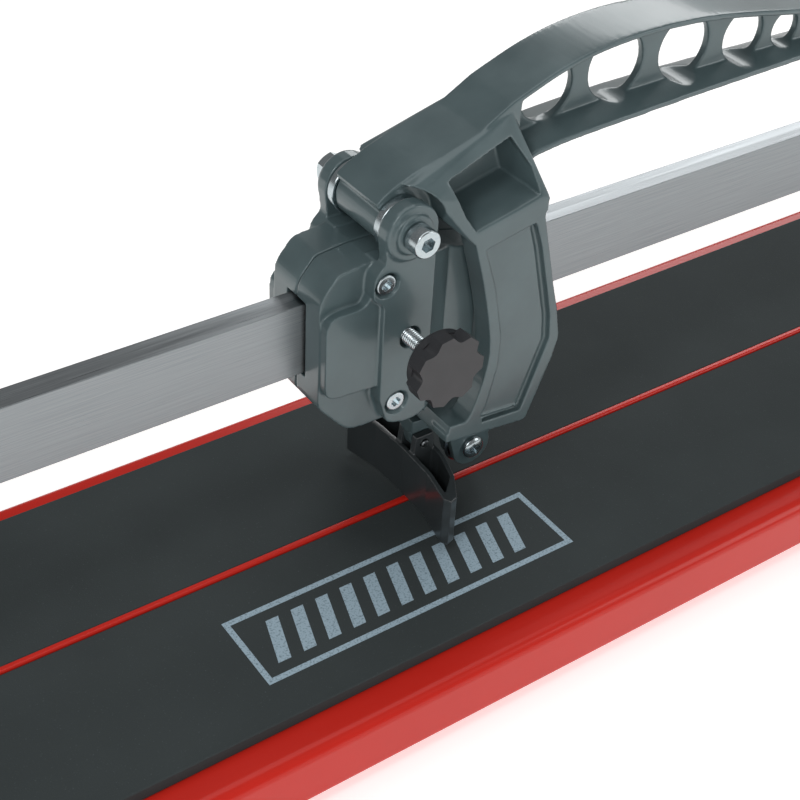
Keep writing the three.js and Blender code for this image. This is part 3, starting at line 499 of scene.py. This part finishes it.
# Bright zinc plate with a clear blue passivate over cold-headed steel: silvery, quite smooth, with
# slight mottling of the plate (2 mm) and a cool tint.
zinc, zinc_shader = new_finish("clear_zinc_plate", Metallic=1.0)
place = add_node(zinc, "ShaderNodeTexCoord").outputs["Object"]
cloud = add_node(zinc, "ShaderNodeTexNoise", {"Scale": 1 / (2 * MM), "Detail": 3.0}, {"Vector": place})
tint = add_node(zinc, "ShaderNodeValToRGB", links={"Fac": cloud.outputs["Fac"]})
tint.color_ramp.elements[0].color = linear("a9b8bf")
tint.color_ramp.elements[1].color = linear("cdd3d4")
feed(zinc, zinc_shader, "Base Color", tint.outputs["Color"])
rough = add_node(zinc, "ShaderNodeMapRange", {3: 0.16, 4: 0.3}, {0: cloud.outputs["Fac"]})
feed(zinc, zinc_shader, "Roughness", rough.outputs[0])
relief = add_node(
    zinc, "ShaderNodeBump", {"Strength": 0.08, "Distance": 0.03 * MM},
    {"Height": cloud.outputs["Fac"]},
)
feed(zinc, zinc_shader, "Normal", relief.outputs["Normal"])


def hex_nut(name, centre, flats, bore, start, end):
    """A hexagon nut along Y with chamfered corners and a threaded bore's countersinks."""
    x, z = centre
    nut = as_piece(name, prism(hexagon(x, z, flats, 30), "Y", start, end))
    corner = flats / math.sqrt(3)
    cone = [(0, start - 1), (flats / 2 - 0.3, start - 0.01), (corner + 0.3, start + 1.1)]
    cone += [(corner + 0.3, end - 1.1), (flats / 2 - 0.3, end + 0.01), (0, end + 1)]
    carve(nut, turned("cone", cone, (x, 0, z), "Y", 48), how="INTERSECT")
    sink = [(0, start - 1), (bore + 1, start - 1), (bore + 1, start), (bore, start + 1)]
    sink += [(bore, end - 1), (bore + 1, end), (bore + 1, end + 1), (0, end + 1)]
    carve(nut, turned("sink", sink, (x, 0, z), "Y", 48))
    return soften(nut, 0.15, 2)


for side in ("left", "right"):
    post = cast(f"{side}_post_cast", f"{side}_post", 0.7, 5, 60000)
    fit(post, slate, "base", "cast_slate", f"{side}_post")
    for number in (1, 2):
        node = f"{side}_rail_bolt_{number}"
        low, high = span(node)
        x, z = (low.x + high.x) / 2, (low.z + high.z) / 2
        head = low.y + 5.5
        bolt = as_piece(f"{node}_headed", prism(hexagon(x, z, 13, 30), "Y", low.y, head))
        crown = [(0, low.y - 1), (6, low.y), (7.8, low.y + 1.1), (7.8, head + 1), (0, head + 1)]
        carve(bolt, turned("crown", crown, (x, 0, z), "Y", 48), how="INTERSECT")
        shank = [(0, head - 1), (4, head - 1), (4, high.y - 0.6), (3.4, high.y), (0, high.y)]
        carve(bolt, turned("shank", shank, (x, 0, z), "Y", 48), how="UNION")
        nut = hex_nut("nut", (x, z), 13, 3.9, 20.3, 26.8)
        carve(bolt, nut, how="UNION")
        soften(bolt, 0.15, 2)
        fit(bolt, zinc, "base", "zinc_plate", node)
    for row in ("front", "rear"):
        node = f"{side}_post_screw_{row}"
        low, high = span(node)
        centre = ((low.x + high.x) / 2, (low.y + high.y) / 2, 0)
        profile = [(0, low.z), (3, low.z), (3, high.z - 4.6), (5.4, high.z - 4.6), (5.6, high.z - 4.3)]
        profile += [(5.6, high.z - 0.5), (5.1, high.z), (0, high.z)]
        screw = turned(f"{node}_headed", profile, centre, "Z")
        socket = as_piece("socket", prism(hexagon(centre[0], centre[1], 5), "Z", high.z - 3, high.z + 1))
        carve(screw, socket)
        soften(screw, 0.2, 2)
        fit(screw, zinc, "base", "zinc_plate", node)

# ---- Fence and side stop -------------------------------------------------------------------------
# An extruded bar across the left end sets the tile square, with a stop that slides along it and is
# clamped by a small moulded knob. Both are held to the deck by countersunk screws.

# Anodised aluminium extrusion: pale satin metal with faint lines drawn along its length (0.4 mm).
anodised, anodised_shader = new_finish(
    "satin_anodised_aluminium", Base_Color=linear("b9bbbc"), Metallic=1.0, Anisotropic=0.3,
)
place = add_node(anodised, "ShaderNodeTexCoord").outputs["Object"]
stretched = add_node(
    anodised, "ShaderNodeMapping", {"Scale": (1 / (0.4 * MM), 1 / (60 * MM), 1 / (0.4 * MM))},
    {"Vector": place},
)
lines = add_node(
    anodised, "ShaderNodeTexNoise", {"Scale": 1.0, "Detail": 3.0}, {"Vector": stretched.outputs[0]}
)
rough = add_node(anodised, "ShaderNodeMapRange", {3: 0.32, 4: 0.48}, {0: lines.outputs["Fac"]})
feed(anodised, anodised_shader, "Roughness", rough.outputs[0])
relief = add_node(
    anodised, "ShaderNodeBump", {"Strength": 0.15, "Distance": 0.02 * MM},
    {"Height": lines.outputs["Fac"]},
)
feed(anodised, anodised_shader, "Normal", relief.outputs["Normal"])

fence = carried("fence_bar_extruded", "fence_bar", 0.5)
fit(fence, anodised, "base", "extruded_aluminium", "fence_bar")
for row in ("front", "rear"):
    node = f"{row}_fence_screw"
    low, high = span(node)
    centre = ((low.x + high.x) / 2, (low.y + high.y) / 2, 0)
    profile = [(0, low.z), (2.3, low.z), (2.3, high.z - 3), (4.3, high.z - 3), (4.5, high.z - 2.6)]
    profile += [(4.5, high.z - 0.4), (4.1, high.z), (0, high.z)]
    screw = turned(f"{node}_headed", profile, centre, "Z")
    carve(screw, as_piece("socket", prism(hexagon(centre[0], centre[1], 3), "Z", high.z - 2, high.z + 1)))
    soften(screw, 0.15, 2)
    fit(screw, zinc, "base", "zinc_plate", node)
stop = carried("side_stop_milled", "side_stop", 0.5)
fit(stop, anodised, "side_stop", "extruded_aluminium", "side_stop")


def lobed(a, b, tip, valley, count, share=0.43, first=12, steps=6):
    """Outline of a moulded star knob: flat-ended lobes with shallow hollow flutes between them."""
    points = []
    half_tip = share * 180 / count
    flute = 360 / count - 2 * half_tip
    for i in range(count):
        middle = 360 * i / count + first
        corners = [(-half_tip, tip)]
        for k in range(steps):
            hollow = (tip - valley) * math.sin(math.pi * k / steps)
            corners.append((half_tip + flute * k / steps, tip - hollow))
        for turn, radius in corners:
            angle = math.radians(middle + turn)
            points.append((a + radius * math.cos(angle), b + radius * math.sin(angle)))
    return points


low, high = span("stop_knob")
x, y = (low.x + high.x) / 2, (low.y + high.y) / 2
star = as_piece("stop_knob_moulded", prism(lobed(x, y, 9.4, 8.0, 6), "Z", high.z - 11.5, high.z))
stud = [(0, low.z), (2.6, low.z), (3, low.z + 0.4), (3, high.z - 11), (0, high.z - 11)]
carve(star, turned("stud", stud, (x, y, 0), "Z", 48), how="UNION")
soften(star, 0.7, 3)
fit(star, nylon, "stop_knob", "black_nylon", "stop_knob")

# ---- Carriage shells -----------------------------------------------------------------------------
# The carriage is two mirrored castings clamped together round the rail by two screws. Each has a
# rounded lobe over a roller, a raised cheek, and a plate that narrows up to the handle's ear.

pivot_low, pivot_high = span("pivot_bolt")
PIVOT_X = (pivot_low.x + pivot_high.x) / 2
PIVOT_Z = (pivot_low.z + pivot_high.z) / 2
RAIL_TOP = rail_high.z

STUD_HOLE = 5.4
SCREW_RECESS = 6.1
for side, sign in (("front", -1), ("rear", 1)):
    wells = []
    for node, radius, bottom in (
        ("lock_stud", STUD_HOLE, 21.0),
        ("upper_clamp_screw", SCREW_RECESS, 24.4),
        ("lower_clamp_screw", SCREW_RECESS, 24.4),
    ):
        if side == "rear" and node == "lock_stud":
            continue
        low, high = span(node)
        centre = ((low.x + high.x) / 2, 0, (low.z + high.z) / 2)
        ends = sorted((sign * bottom, sign * 40))
        well = [(0, ends[0]), (radius, ends[0]), (radius, ends[1]), (0, ends[1])]
        wells.append(turned("well", well, centre, "Y", 48))
    shell = cast(f"carriage_{side}_shell_cast", f"carriage_{side}_shell", 0.5, 6, 110000, *wells)
    fit(shell, slate, "carriage", "cast_slate", f"carriage_{side}_shell")

# ---- Clamp screws, rollers and pins --------------------------------------------------------------
# Two socket screws with nuts draw the shells together; between them four hardened rollers on
# pressed-in pins run above and below the rail.

for label in ("upper", "lower"):
    node = f"{label}_clamp_screw"
    low, high = span(node)
    x, z = (low.x + high.x) / 2, (low.z + high.z) / 2
    head = low.y + 2.6
    profile = [(0, low.y), (3.9, low.y), (4.6, low.y + 0.25), (4.9, low.y + 0.9), (4.9, head)]
    profile += [(2.4, head), (2.4, high.y - 0.4), (2, high.y), (0, high.y)]
    screw = turned(f"{node}_headed", profile, (x, 0, z), "Y")
    recess = lobed(x, z, 2.6, 1.9, 6, 0.5)
    carve(screw, as_piece("recess", prism(recess, "Y", low.y - 1, low.y + 1.9)))
    soften(screw, 0.12, 2)
    fit(screw, zinc, "carriage", "zinc_plate", node)
    low, high = span(f"{label}_clamp_nut")
    nut = hex_nut(f"{label}_clamp_nut_headed", (x, z), 8, 2.4, low.y, high.y)
    fit(nut, zinc, "carriage", "zinc_plate", f"{label}_clamp_nut")

for row in ("upper", "lower"):
    for side in ("left", "right"):
        node = f"{row}_{side}_roller"
        low, high = span(node)
        x, z = (low.x + high.x) / 2, (low.z + high.z) / 2
        tread = (high.x - low.x) / 2
        profile = [(2.6, low.y + 0.3), (2.9, low.y), (5.2, low.y), (5.4, low.y + 0.3), (6.4, low.y + 0.3)]
        profile += [(6.6, low.y), (tread - 0.5, low.y), (tread, low.y + 0.5)]
        profile += [(r, low.y + high.y - y) for r, y in reversed(profile)]
        roller = soften(turned(f"{node}_ground", profile, (x, 0, z), "Y"), 0.0)
        fit(roller, drawn, node, "bright_steel", node)
        low, high = span(f"{node}_pin")
        profile = [(0, low.y), (2.1, low.y), (2.5, low.y + 0.4), (2.5, high.y - 0.4), (2.1, high.y)]
        pin = soften(turned(f"{node}_pin_ground", profile + [(0, high.y)], (x, 0, z), "Y", 40), 0.0)
        fit(pin, drawn, "carriage", "bright_steel", f"{node}_pin")

# ---- Handle pivot --------------------------------------------------------------------------------
# A shouldered M8 socket bolt runs through both ears and the handle's hub, with a bronze bush inside
# the hub, a bright washer on each side of it and a nut at the rear.

low, high = pivot_low, pivot_high
head = low.y + 8.3
profile = [(0, low.y), (5.7, low.y), (6.3, low.y + 0.3), (6.6, low.y + 0.9), (6.6, head - 0.4)]
profile += [(6.3, head), (4, head), (4, high.y - 0.6), (3.4, high.y), (0, high.y)]
bolt = turned("pivot_bolt_headed", profile, (PIVOT_X, 0, PIVOT_Z), "Y", 96)
socket = as_piece("socket", prism(hexagon(PIVOT_X, PIVOT_Z, 6, 12), "Y", low.y - 1, low.y + 4.4))
carve(bolt, socket)
soften(bolt, 0.18, 2)
fit(bolt, zinc, "carriage", "zinc_plate", "pivot_bolt")

low, high = span("pivot_nut")
nut = hex_nut("pivot_nut_headed", (PIVOT_X, PIVOT_Z), 13, 4.1, low.y, high.y)
fit(nut, zinc, "carriage", "zinc_plate", "pivot_nut")


def ring_profile(inner, outer, low_y, high_y, edge):
    return [
        (inner, low_y + edge), (inner + edge, low_y), (outer - edge, low_y), (outer, low_y + edge),
        (outer, high_y - edge), (outer - edge, high_y), (inner + edge, high_y), (inner, high_y - edge),
    ]


for row in ("front", "rear"):
    node = f"{row}_thrust_washer"
    low, high = span(node)
    profile = ring_profile(4.3, 12.6, low.y, high.y, 0.35)
    washer = soften(turned(f"{node}_turned", profile, (PIVOT_X, 0, PIVOT_Z), "Y", 96), 0.0)
    fit(washer, zinc, "carriage", "zinc_plate", node)

# Sintered bronze, pressed and sized: warm brown metal, open-pored at 0.3 mm and oily.
bronze, bronze_shader = new_finish("sintered_bronze", Metallic=1.0, Roughness=0.42)
place = add_node(bronze, "ShaderNodeTexCoord").outputs["Object"]
pores = add_node(bronze, "ShaderNodeTexNoise", {"Scale": 1 / (0.3 * MM), "Detail": 2.0}, {"Vector": place})
tint = add_node(bronze, "ShaderNodeValToRGB", links={"Fac": pores.outputs["Fac"]})
tint.color_ramp.elements[0].color = linear("8a6230")
tint.color_ramp.elements[1].color = linear("b58a4c")
feed(bronze, bronze_shader, "Base Color", tint.outputs["Color"])
low, high = span("pivot_bush")
bush_profile = ring_profile(4.3, 6.5, low.y, high.y, 0.4)
bush = soften(turned("pivot_bush_sized", bush_profile, (PIVOT_X, 0, PIVOT_Z), "Y"), 0.0)
fit(bush, bronze, "handle", "sintered_bronze", "pivot_bush")

# ---- Carriage lock -------------------------------------------------------------------------------
# A zinc-plated M8 stud screws through the front shell until it bears on the rail. Its knob is a
# moulded star with seven flat-ended lobes on a shallow cone.

low, high = span("lock_stud")
STUD_X, STUD_Z = (low.x + high.x) / 2, (low.z + high.z) / 2
PITCH = 1.25
THREAD_DEPTH = 0.65
STUD_RADIUS = 3.9


def threaded(name, centre, radius, depth, pitch, start, end, steps=48, per_turn=10):
    """A rod along Y whose skin rises and falls in a helix, with a rounded lead at each end."""
    profile = []
    rings = int((end - start) / pitch * per_turn)
    for i in range(rings + 1):
        y = start + (end - start) * i / rings
        near = min(y - start, end - y)
        profile.append((radius - max(0.0, 0.8 - near), y))
    rod = turned(name, [(0, start)] + profile + [(0, end)], (0, 0, 0), "Y", steps)
    for vertex in rod.data.vertices:
        reach = math.hypot(vertex.co.x, vertex.co.z)
        if reach > 1e-6:
            turn = math.atan2(vertex.co.z, vertex.co.x) / (2 * math.pi)
            wave = abs((vertex.co.y / MM / pitch - turn) % 1.0 - 0.5) * 2
            scale = 1 - wave * depth * MM / reach
            vertex.co.x *= scale
            vertex.co.z *= scale
    rod.data.transform(Matrix.Translation(Vector((centre[0], 0, centre[1])) * MM))
    for face in rod.data.polygons:
        face.use_smooth = True
    return rod


stud = threaded(
    "lock_stud_threaded", (STUD_X, STUD_Z), STUD_RADIUS, THREAD_DEPTH, PITCH, low.y, high.y
)
fit(stud, zinc, "lock_stud", "zinc_plate", "lock_stud")

low, high = span("lock_knob")
STAR_DEPTH = 8.0
STAR_LOBES = 7
COLLAR_RADIUS = 15.6
KNOB_BORE = 4.2
star_back = low.y + STAR_DEPTH
star = lobed(STUD_X, STUD_Z, 17.7, 14.7, STAR_LOBES, share=0.38, first=-4)
knob = as_piece("lock_knob_moulded", prism(star, "Y", low.y, star_back))
collar = [(KNOB_BORE, star_back - 1), (COLLAR_RADIUS, star_back - 1)]
collar += [(COLLAR_RADIUS, star_back + 2.4), (COLLAR_RADIUS - 1, star_back + 3.6)]
collar += [(8.6, high.y - 1.4), (7.6, high.y), (KNOB_BORE, high.y)]
neck = turned("neck", collar, (STUD_X, 0, STUD_Z), "Y", 64)
carve(knob, neck, how="UNION")
bore = [(0, star_back - 3), (KNOB_BORE, star_back - 3), (KNOB_BORE, high.y + 1), (0, high.y + 1)]
carve(knob, turned("bore", bore, (STUD_X, 0, STUD_Z), "Y", 48))
soften(knob, 0.6, 3)
fit(knob, nylon, "lock_knob", "black_nylon", "lock_knob")

# ---- Handle casting ------------------------------------------------------------------------------
# One long casting: a hub on the pivot bolt, a neck that flares into two legs astride the carriage,
# and an I-section arm with round windows. Its legs meet in a bridge that takes the wheel holder.


def on_leg(points):
    """Outline given from the pivot in X and from the rail's top in Z, in the frame."""
    return [(PIVOT_X + x, RAIL_TOP + z) for x, z in points]


# The groove frames the sunk panel on the outer face of each leg.
LEG_FACE = span("handle_casting")[1].y
GROOVE_DEPTH = 3.2
GROOVE = [(64.5, 17.5), (66.6, 18.2), (71, 6), (77, -18), (81, -35), (82.4, -49), (69.3, -86.5)]
GROOVE += [(46, -84.5), (46.6, -82), (67.6, -83.6), (79.6, -49), (78.2, -35), (74, -18), (68.4, 5)]
grooves = []
for side in (-1, 1):
    ends = sorted((side * (LEG_FACE - GROOVE_DEPTH), side * (LEG_FACE + 1)))
    grooves.append(as_piece("groove", prism(on_leg(GROOVE), "Y", *ends)))
handle = cast("handle_casting_cast", "handle_casting", 0.5, 9, 195000, *grooves)


def relax_near(piece, centre, reach, rounds):
    """Blends a region of a casting into a larger fillet, fading out at its border."""
    group = piece.vertex_groups.new(name="relax")
    for vertex in piece.data.vertices:
        offset = Vector((vertex.co.x, abs(vertex.co.y), vertex.co.z)) - Vector(centre) * MM
        weight = 1 - offset.length / (reach * MM)
        if weight > 0:
            group.add([vertex.index], min(1.0, 2 * weight), "REPLACE")
    smooth = piece.modifiers.new("relax", "SMOOTH")
    smooth.vertex_group = group.name
    smooth.factor = 0.5
    smooth.iterations = rounds
    bake(piece)
    piece.vertex_groups.clear()


# A wide fillet where each side of the neck flares out, then a lighter one along the whole arm.
relax_near(handle, (PIVOT_X + 20, 17, RAIL_TOP + 56), 9, 30)
relax_near(handle, (PIVOT_X + 160, 0, RAIL_TOP + 70), 140, 14)
fit(handle, slate, "handle", "cast_slate", "handle_casting")

# ---- Grip ----------------------------------------------------------------------------------------
# A soft rubber sleeve pushed over the arm's tang, with shallow rings moulded round it for the hand.

RIB_PITCH = 6.0
RIB_DEPTH = 0.7
grip = cast("handle_grip_moulded", "handle_grip", 0.8, 6, 60000)
low, high = span("handle_grip")
middle_z = (low.z + high.z) / 2
for vertex in grip.data.vertices:
    x, y, z = vertex.co / MM
    inside = min(x - low.x - 12, high.x - 14 - x)
    reach = math.hypot(y, z - middle_z)
    if inside > 0 and reach > 9.5:
        wave = 0.5 - 0.5 * math.cos(2 * math.pi * (x - low.x) / RIB_PITCH)
        pull = RIB_DEPTH * wave * min(1.0, inside / 3) * MM
        vertex.co.y -= pull * y / reach
        vertex.co.z -= pull * (z - middle_z) / reach
fit(grip, rubber, "handle", "rubber_black", "handle_grip")

# ---- Wheel holder --------------------------------------------------------------------------------
# A small cast block under the bridge, held by two screws from above. Its fork carries the scoring
# wheel on a shouldered axle with a nut, and its nose carries the breaker foot.

holder = cast("wheel_holder_cast", "wheel_holder", 0.35, 5, 60000)
fit(holder, slate, "handle", "cast_slate", "wheel_holder")
for side in ("left", "right"):
    node = f"{side}_holder_screw"
    low, high = span(node)
    centre = ((low.x + high.x) / 2, (low.y + high.y) / 2, 0)
    profile = [(0, low.z), (1.6, low.z), (2, low.z + 0.4), (2, high.z - 3), (4, high.z - 3)]
    profile += [(4.2, high.z - 2.7), (4.2, high.z - 0.5), (3.7, high.z), (0, high.z)]
    screw = turned(f"{node}_headed", profile, centre, "Z", 48)
    carve(screw, as_piece("socket", prism(hexagon(centre[0], centre[1], 3), "Z", high.z - 1.8, high.z + 1)))
    soften(screw, 0.15, 2)
    fit(screw, zinc, "handle", "zinc_plate", node)

low, high = span("wheel_axle")
AXLE_X, AXLE_Z = (low.x + high.x) / 2, (low.z + high.z) / 2
face = low.y
profile = [(0, face), (2.4, face + 0.05), (4.4, face + 0.5), (5.7, face + 1.3), (6.2, face + 2.1)]
profile += [(6.2, face + 3.0), (5.9, face + 3.2), (2.8, face + 3.2), (2.8, high.y - 0.5), (2.3, high.y)]
axle = turned("wheel_axle_headed", profile + [(0, high.y)], (AXLE_X, 0, AXLE_Z), "Y", 72)
SLOT_HALF, SLOT_REACH = 0.55, 3.0
turn = math.radians(20)
across, along = math.cos(turn), math.sin(turn)
for a, b in ((SLOT_REACH, SLOT_HALF), (SLOT_HALF, SLOT_REACH)):
    corners = [(-a, -b), (a, -b), (a, b), (-a, b)]
    cross = [(AXLE_X + x * across - z * along, AXLE_Z + x * along + z * across) for x, z in corners]
    carve(axle, as_piece("slot", prism(cross, "Y", face - 1, face + 2)))
soften(axle, 0.12, 2)
fit(axle, zinc, "handle", "zinc_plate", "wheel_axle")
low, high = span("axle_nut")
nut = hex_nut("axle_nut_headed", (AXLE_X, AXLE_Z), 9, 2.9, low.y, high.y)
fit(nut, zinc, "handle", "zinc_plate", "axle_nut")

# ---- Scoring wheel -------------------------------------------------------------------------------
# The wheel that scores the glaze: a 25 mm disc of tungsten carbide ground to a sharp rim.

# Cemented carbide, diamond ground: dark bright metal with rings of fine grinding lines, 0.3 mm apart.
carbide, carbide_shader = new_finish("ground_tungsten_carbide", Base_Color=linear("868a8f"), Metallic=1.0)
place = add_node(carbide, "ShaderNodeTexCoord").outputs["Object"]
centred = add_node(
    carbide, "ShaderNodeVectorMath", {1: (AXLE_X * MM, 0, AXLE_Z * MM)}, {0: place}, operation="SUBTRACT"
)
flat = add_node(
    carbide, "ShaderNodeVectorMath", {1: (1, 0, 1)}, {0: centred.outputs[0]}, operation="MULTIPLY"
)
reach = add_node(carbide, "ShaderNodeVectorMath", links={0: flat.outputs[0]}, operation="LENGTH")
rings = add_node(
    carbide, "ShaderNodeMath", {1: 2 * math.pi / (0.3 * MM)}, {0: reach.outputs["Value"]},
    operation="MULTIPLY",
)
wave = add_node(carbide, "ShaderNodeMath", links={0: rings.outputs[0]}, operation="SINE")
rough = add_node(carbide, "ShaderNodeMapRange", {1: -1.0, 2: 1.0, 3: 0.15, 4: 0.27}, {0: wave.outputs[0]})
feed(carbide, carbide_shader, "Roughness", rough.outputs[0])
relief = add_node(
    carbide, "ShaderNodeBump", {"Strength": 0.15, "Distance": 0.01 * MM}, {"Height": wave.outputs[0]}
)
feed(carbide, carbide_shader, "Normal", relief.outputs["Normal"])

low, high = span("cutting_wheel")
rim = (high.x - low.x) / 2
profile = [(3, low.y + 0.2), (3.2, low.y), (5.8, low.y), (6, low.y + 0.3), (rim - 1.2, low.y + 0.3)]
profile += [(rim - 0.02, -0.03)]
profile += [(r, low.y + high.y - y) for r, y in reversed(profile)]
wheel = soften(turned("cutting_wheel_ground", profile, (AXLE_X, 0, AXLE_Z), "Y", 128), 0.0)
fit(wheel, carbide, "cutting_wheel", "carbide", "cutting_wheel")

# ---- Breaker foot --------------------------------------------------------------------------------
# A thin-walled cast bow on a steel pin. It presses on the tile at both sides of the score line.

# The same casting alloy in a darker, glossier coat: near black with a brown cast, smooth enough to mirror
# the pad in front of it, with only a faint cast grain (1.2 mm). Its darker base colour is partly paint and
# partly painted shade, standing in for the dark pad's reflection on it.
foot_paint_with_painted_shade, foot_paint_and_shade_shader = new_finish(
    "gloss_casting_dark_paint_and_painted_shade", Metallic=0.1, Roughness=0.3, Coat_Weight=0.4, Coat_Roughness=0.1,
)
place = add_node(foot_paint_with_painted_shade, "ShaderNodeTexCoord").outputs["Object"]
cloud = add_node(
    foot_paint_with_painted_shade, "ShaderNodeTexNoise", {"Scale": 1 / (15 * MM), "Detail": 3.0}, {"Vector": place}
)
tint = add_node(foot_paint_with_painted_shade, "ShaderNodeValToRGB", links={"Fac": cloud.outputs["Fac"]})
tint.color_ramp.elements[0].color = linear("33383a")
tint.color_ramp.elements[1].color = linear("3d4244")
feed(foot_paint_with_painted_shade, foot_paint_and_shade_shader, "Base Color", tint.outputs["Color"])
grain = add_node(foot_paint_with_painted_shade, "ShaderNodeTexNoise", {"Scale": 1 / (1.2 * MM)}, {"Vector": place})
relief = add_node(
    foot_paint_with_painted_shade, "ShaderNodeBump", {"Strength": 0.1, "Distance": 0.03 * MM},
    {"Height": grain.outputs["Fac"]},
)
feed(foot_paint_with_painted_shade, foot_paint_and_shade_shader, "Normal", relief.outputs["Normal"])

foot = cast("breaker_foot_cast", "breaker_foot", 0.4, 5, 80000)
# The foot wears the darker copy of the slate finish, its extra darkness partly painted shade.
fit(foot, foot_paint_with_painted_shade, "breaker_foot", "cast_slate", "breaker_foot")
low, high = span("foot_pin")
x, z = (low.x + high.x) / 2, (low.z + high.z) / 2
profile = [(0, low.y), (1.6, low.y), (2, low.y + 0.4), (2, high.y - 0.4), (1.6, high.y), (0, high.y)]
pin = soften(turned("foot_pin_ground", profile, (x, 0, z), "Y", 40), 0.0)
fit(pin, drawn, "handle", "bright_steel", "foot_pin")

# ---- Studio --------------------------------------------------------------------------------------
# A plain pale floor, broad soft lights from above, in front and behind, and the camera.

# Matt white paint on plaster. It glows a little, so that the floor stays evenly pale.
plaster = new_finish(
    "pale_floor", Base_Color=linear("f2f2f0"), Roughness=0.9,
    Emission_Color=(1, 1, 1, 1), Emission_Strength=0.48,
)[0]
FLOOR_HALF = 30.0
bm = bmesh.new()
corners = [(-1, -1), (1, -1), (1, 1), (-1, 1)]
bm.faces.new([bm.verts.new((x * FLOOR_HALF, y * FLOOR_HALF, 0)) for x, y in corners])
floor = as_piece("floor", bm)
floor.data.materials.append(plaster)
floor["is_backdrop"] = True

world = bpy.data.worlds.new("studio")
bpy.context.scene.world = world
world.use_nodes = True
world.node_tree.nodes["Background"].inputs["Color"].default_value = (1, 1, 1, 1)
world.node_tree.nodes["Background"].inputs["Strength"].default_value = 0.2


def softbox(name, place, aim, width, height, power):
    """A flat light at a place in metres, turned towards a point, with its power in watts."""
    light = bpy.data.lights.new(name, "AREA")
    light.shape = "RECTANGLE"
    light.size, light.size_y, light.energy = width, height, power
    lamp = bpy.data.objects.new(name, light)
    lamp.location = place
    lamp.rotation_euler = (Vector(aim) - Vector(place)).to_track_quat("-Z", "Y").to_euler()
    bpy.context.scene.collection.objects.link(lamp)


softbox("overhead", (-0.1, 0.1, 1.9), (-0.1, 0, 0), 2.2, 1.4, 10.5)
softbox("front_left", (-1.5, -1.5, 1.3), (-0.1, 0, 0.15), 1.2, 1.2, 12)
softbox("front_right", (1.4, -1.3, 1.0), (0, 0, 0.15), 0.9, 1.1, 8)
softbox("rear_right", (1.5, 1.5, 1.2), (0, 0, 0.15), 1.5, 0.8, 13)
softbox("lamp", (-1.3, -0.5, 1.5), (-0.15, 0, 0.2), 0.28, 0.28, 5)

# The camera looks down on the carriage from the front left, in metres and degrees.
CAMERA_PLACE = (-0.46768, -0.45808, 0.5572)
CAMERA_AZIMUTH, CAMERA_ELEVATION, CAMERA_ROLL = -36.6488, 37.9917, 3.3186
azimuth, elevation, roll = map(math.radians, (CAMERA_AZIMUTH, CAMERA_ELEVATION, CAMERA_ROLL))
level = math.cos(elevation)
back = Vector((math.sin(azimuth) * level, -math.cos(azimuth) * level, math.sin(elevation)))
right = Vector((0, 0, 1)).cross(back).normalized()
up = back.cross(right)
across = right * math.cos(roll) + up * math.sin(roll)
upward = up * math.cos(roll) - right * math.sin(roll)
camera = bpy.data.objects.new("camera", bpy.data.cameras.new("camera"))
camera.data.lens = 68.5
camera.data.sensor_width = 36
camera.data.clip_start = 0.01
turned_to = Matrix((across, upward, back)).transposed().to_4x4()
camera.matrix_world = Matrix.Translation(CAMERA_PLACE) @ turned_to
bpy.context.scene.collection.objects.link(camera)
bpy.context.scene.camera = camera
bpy.context.scene.view_settings.view_transform = "Standard"

low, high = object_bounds()
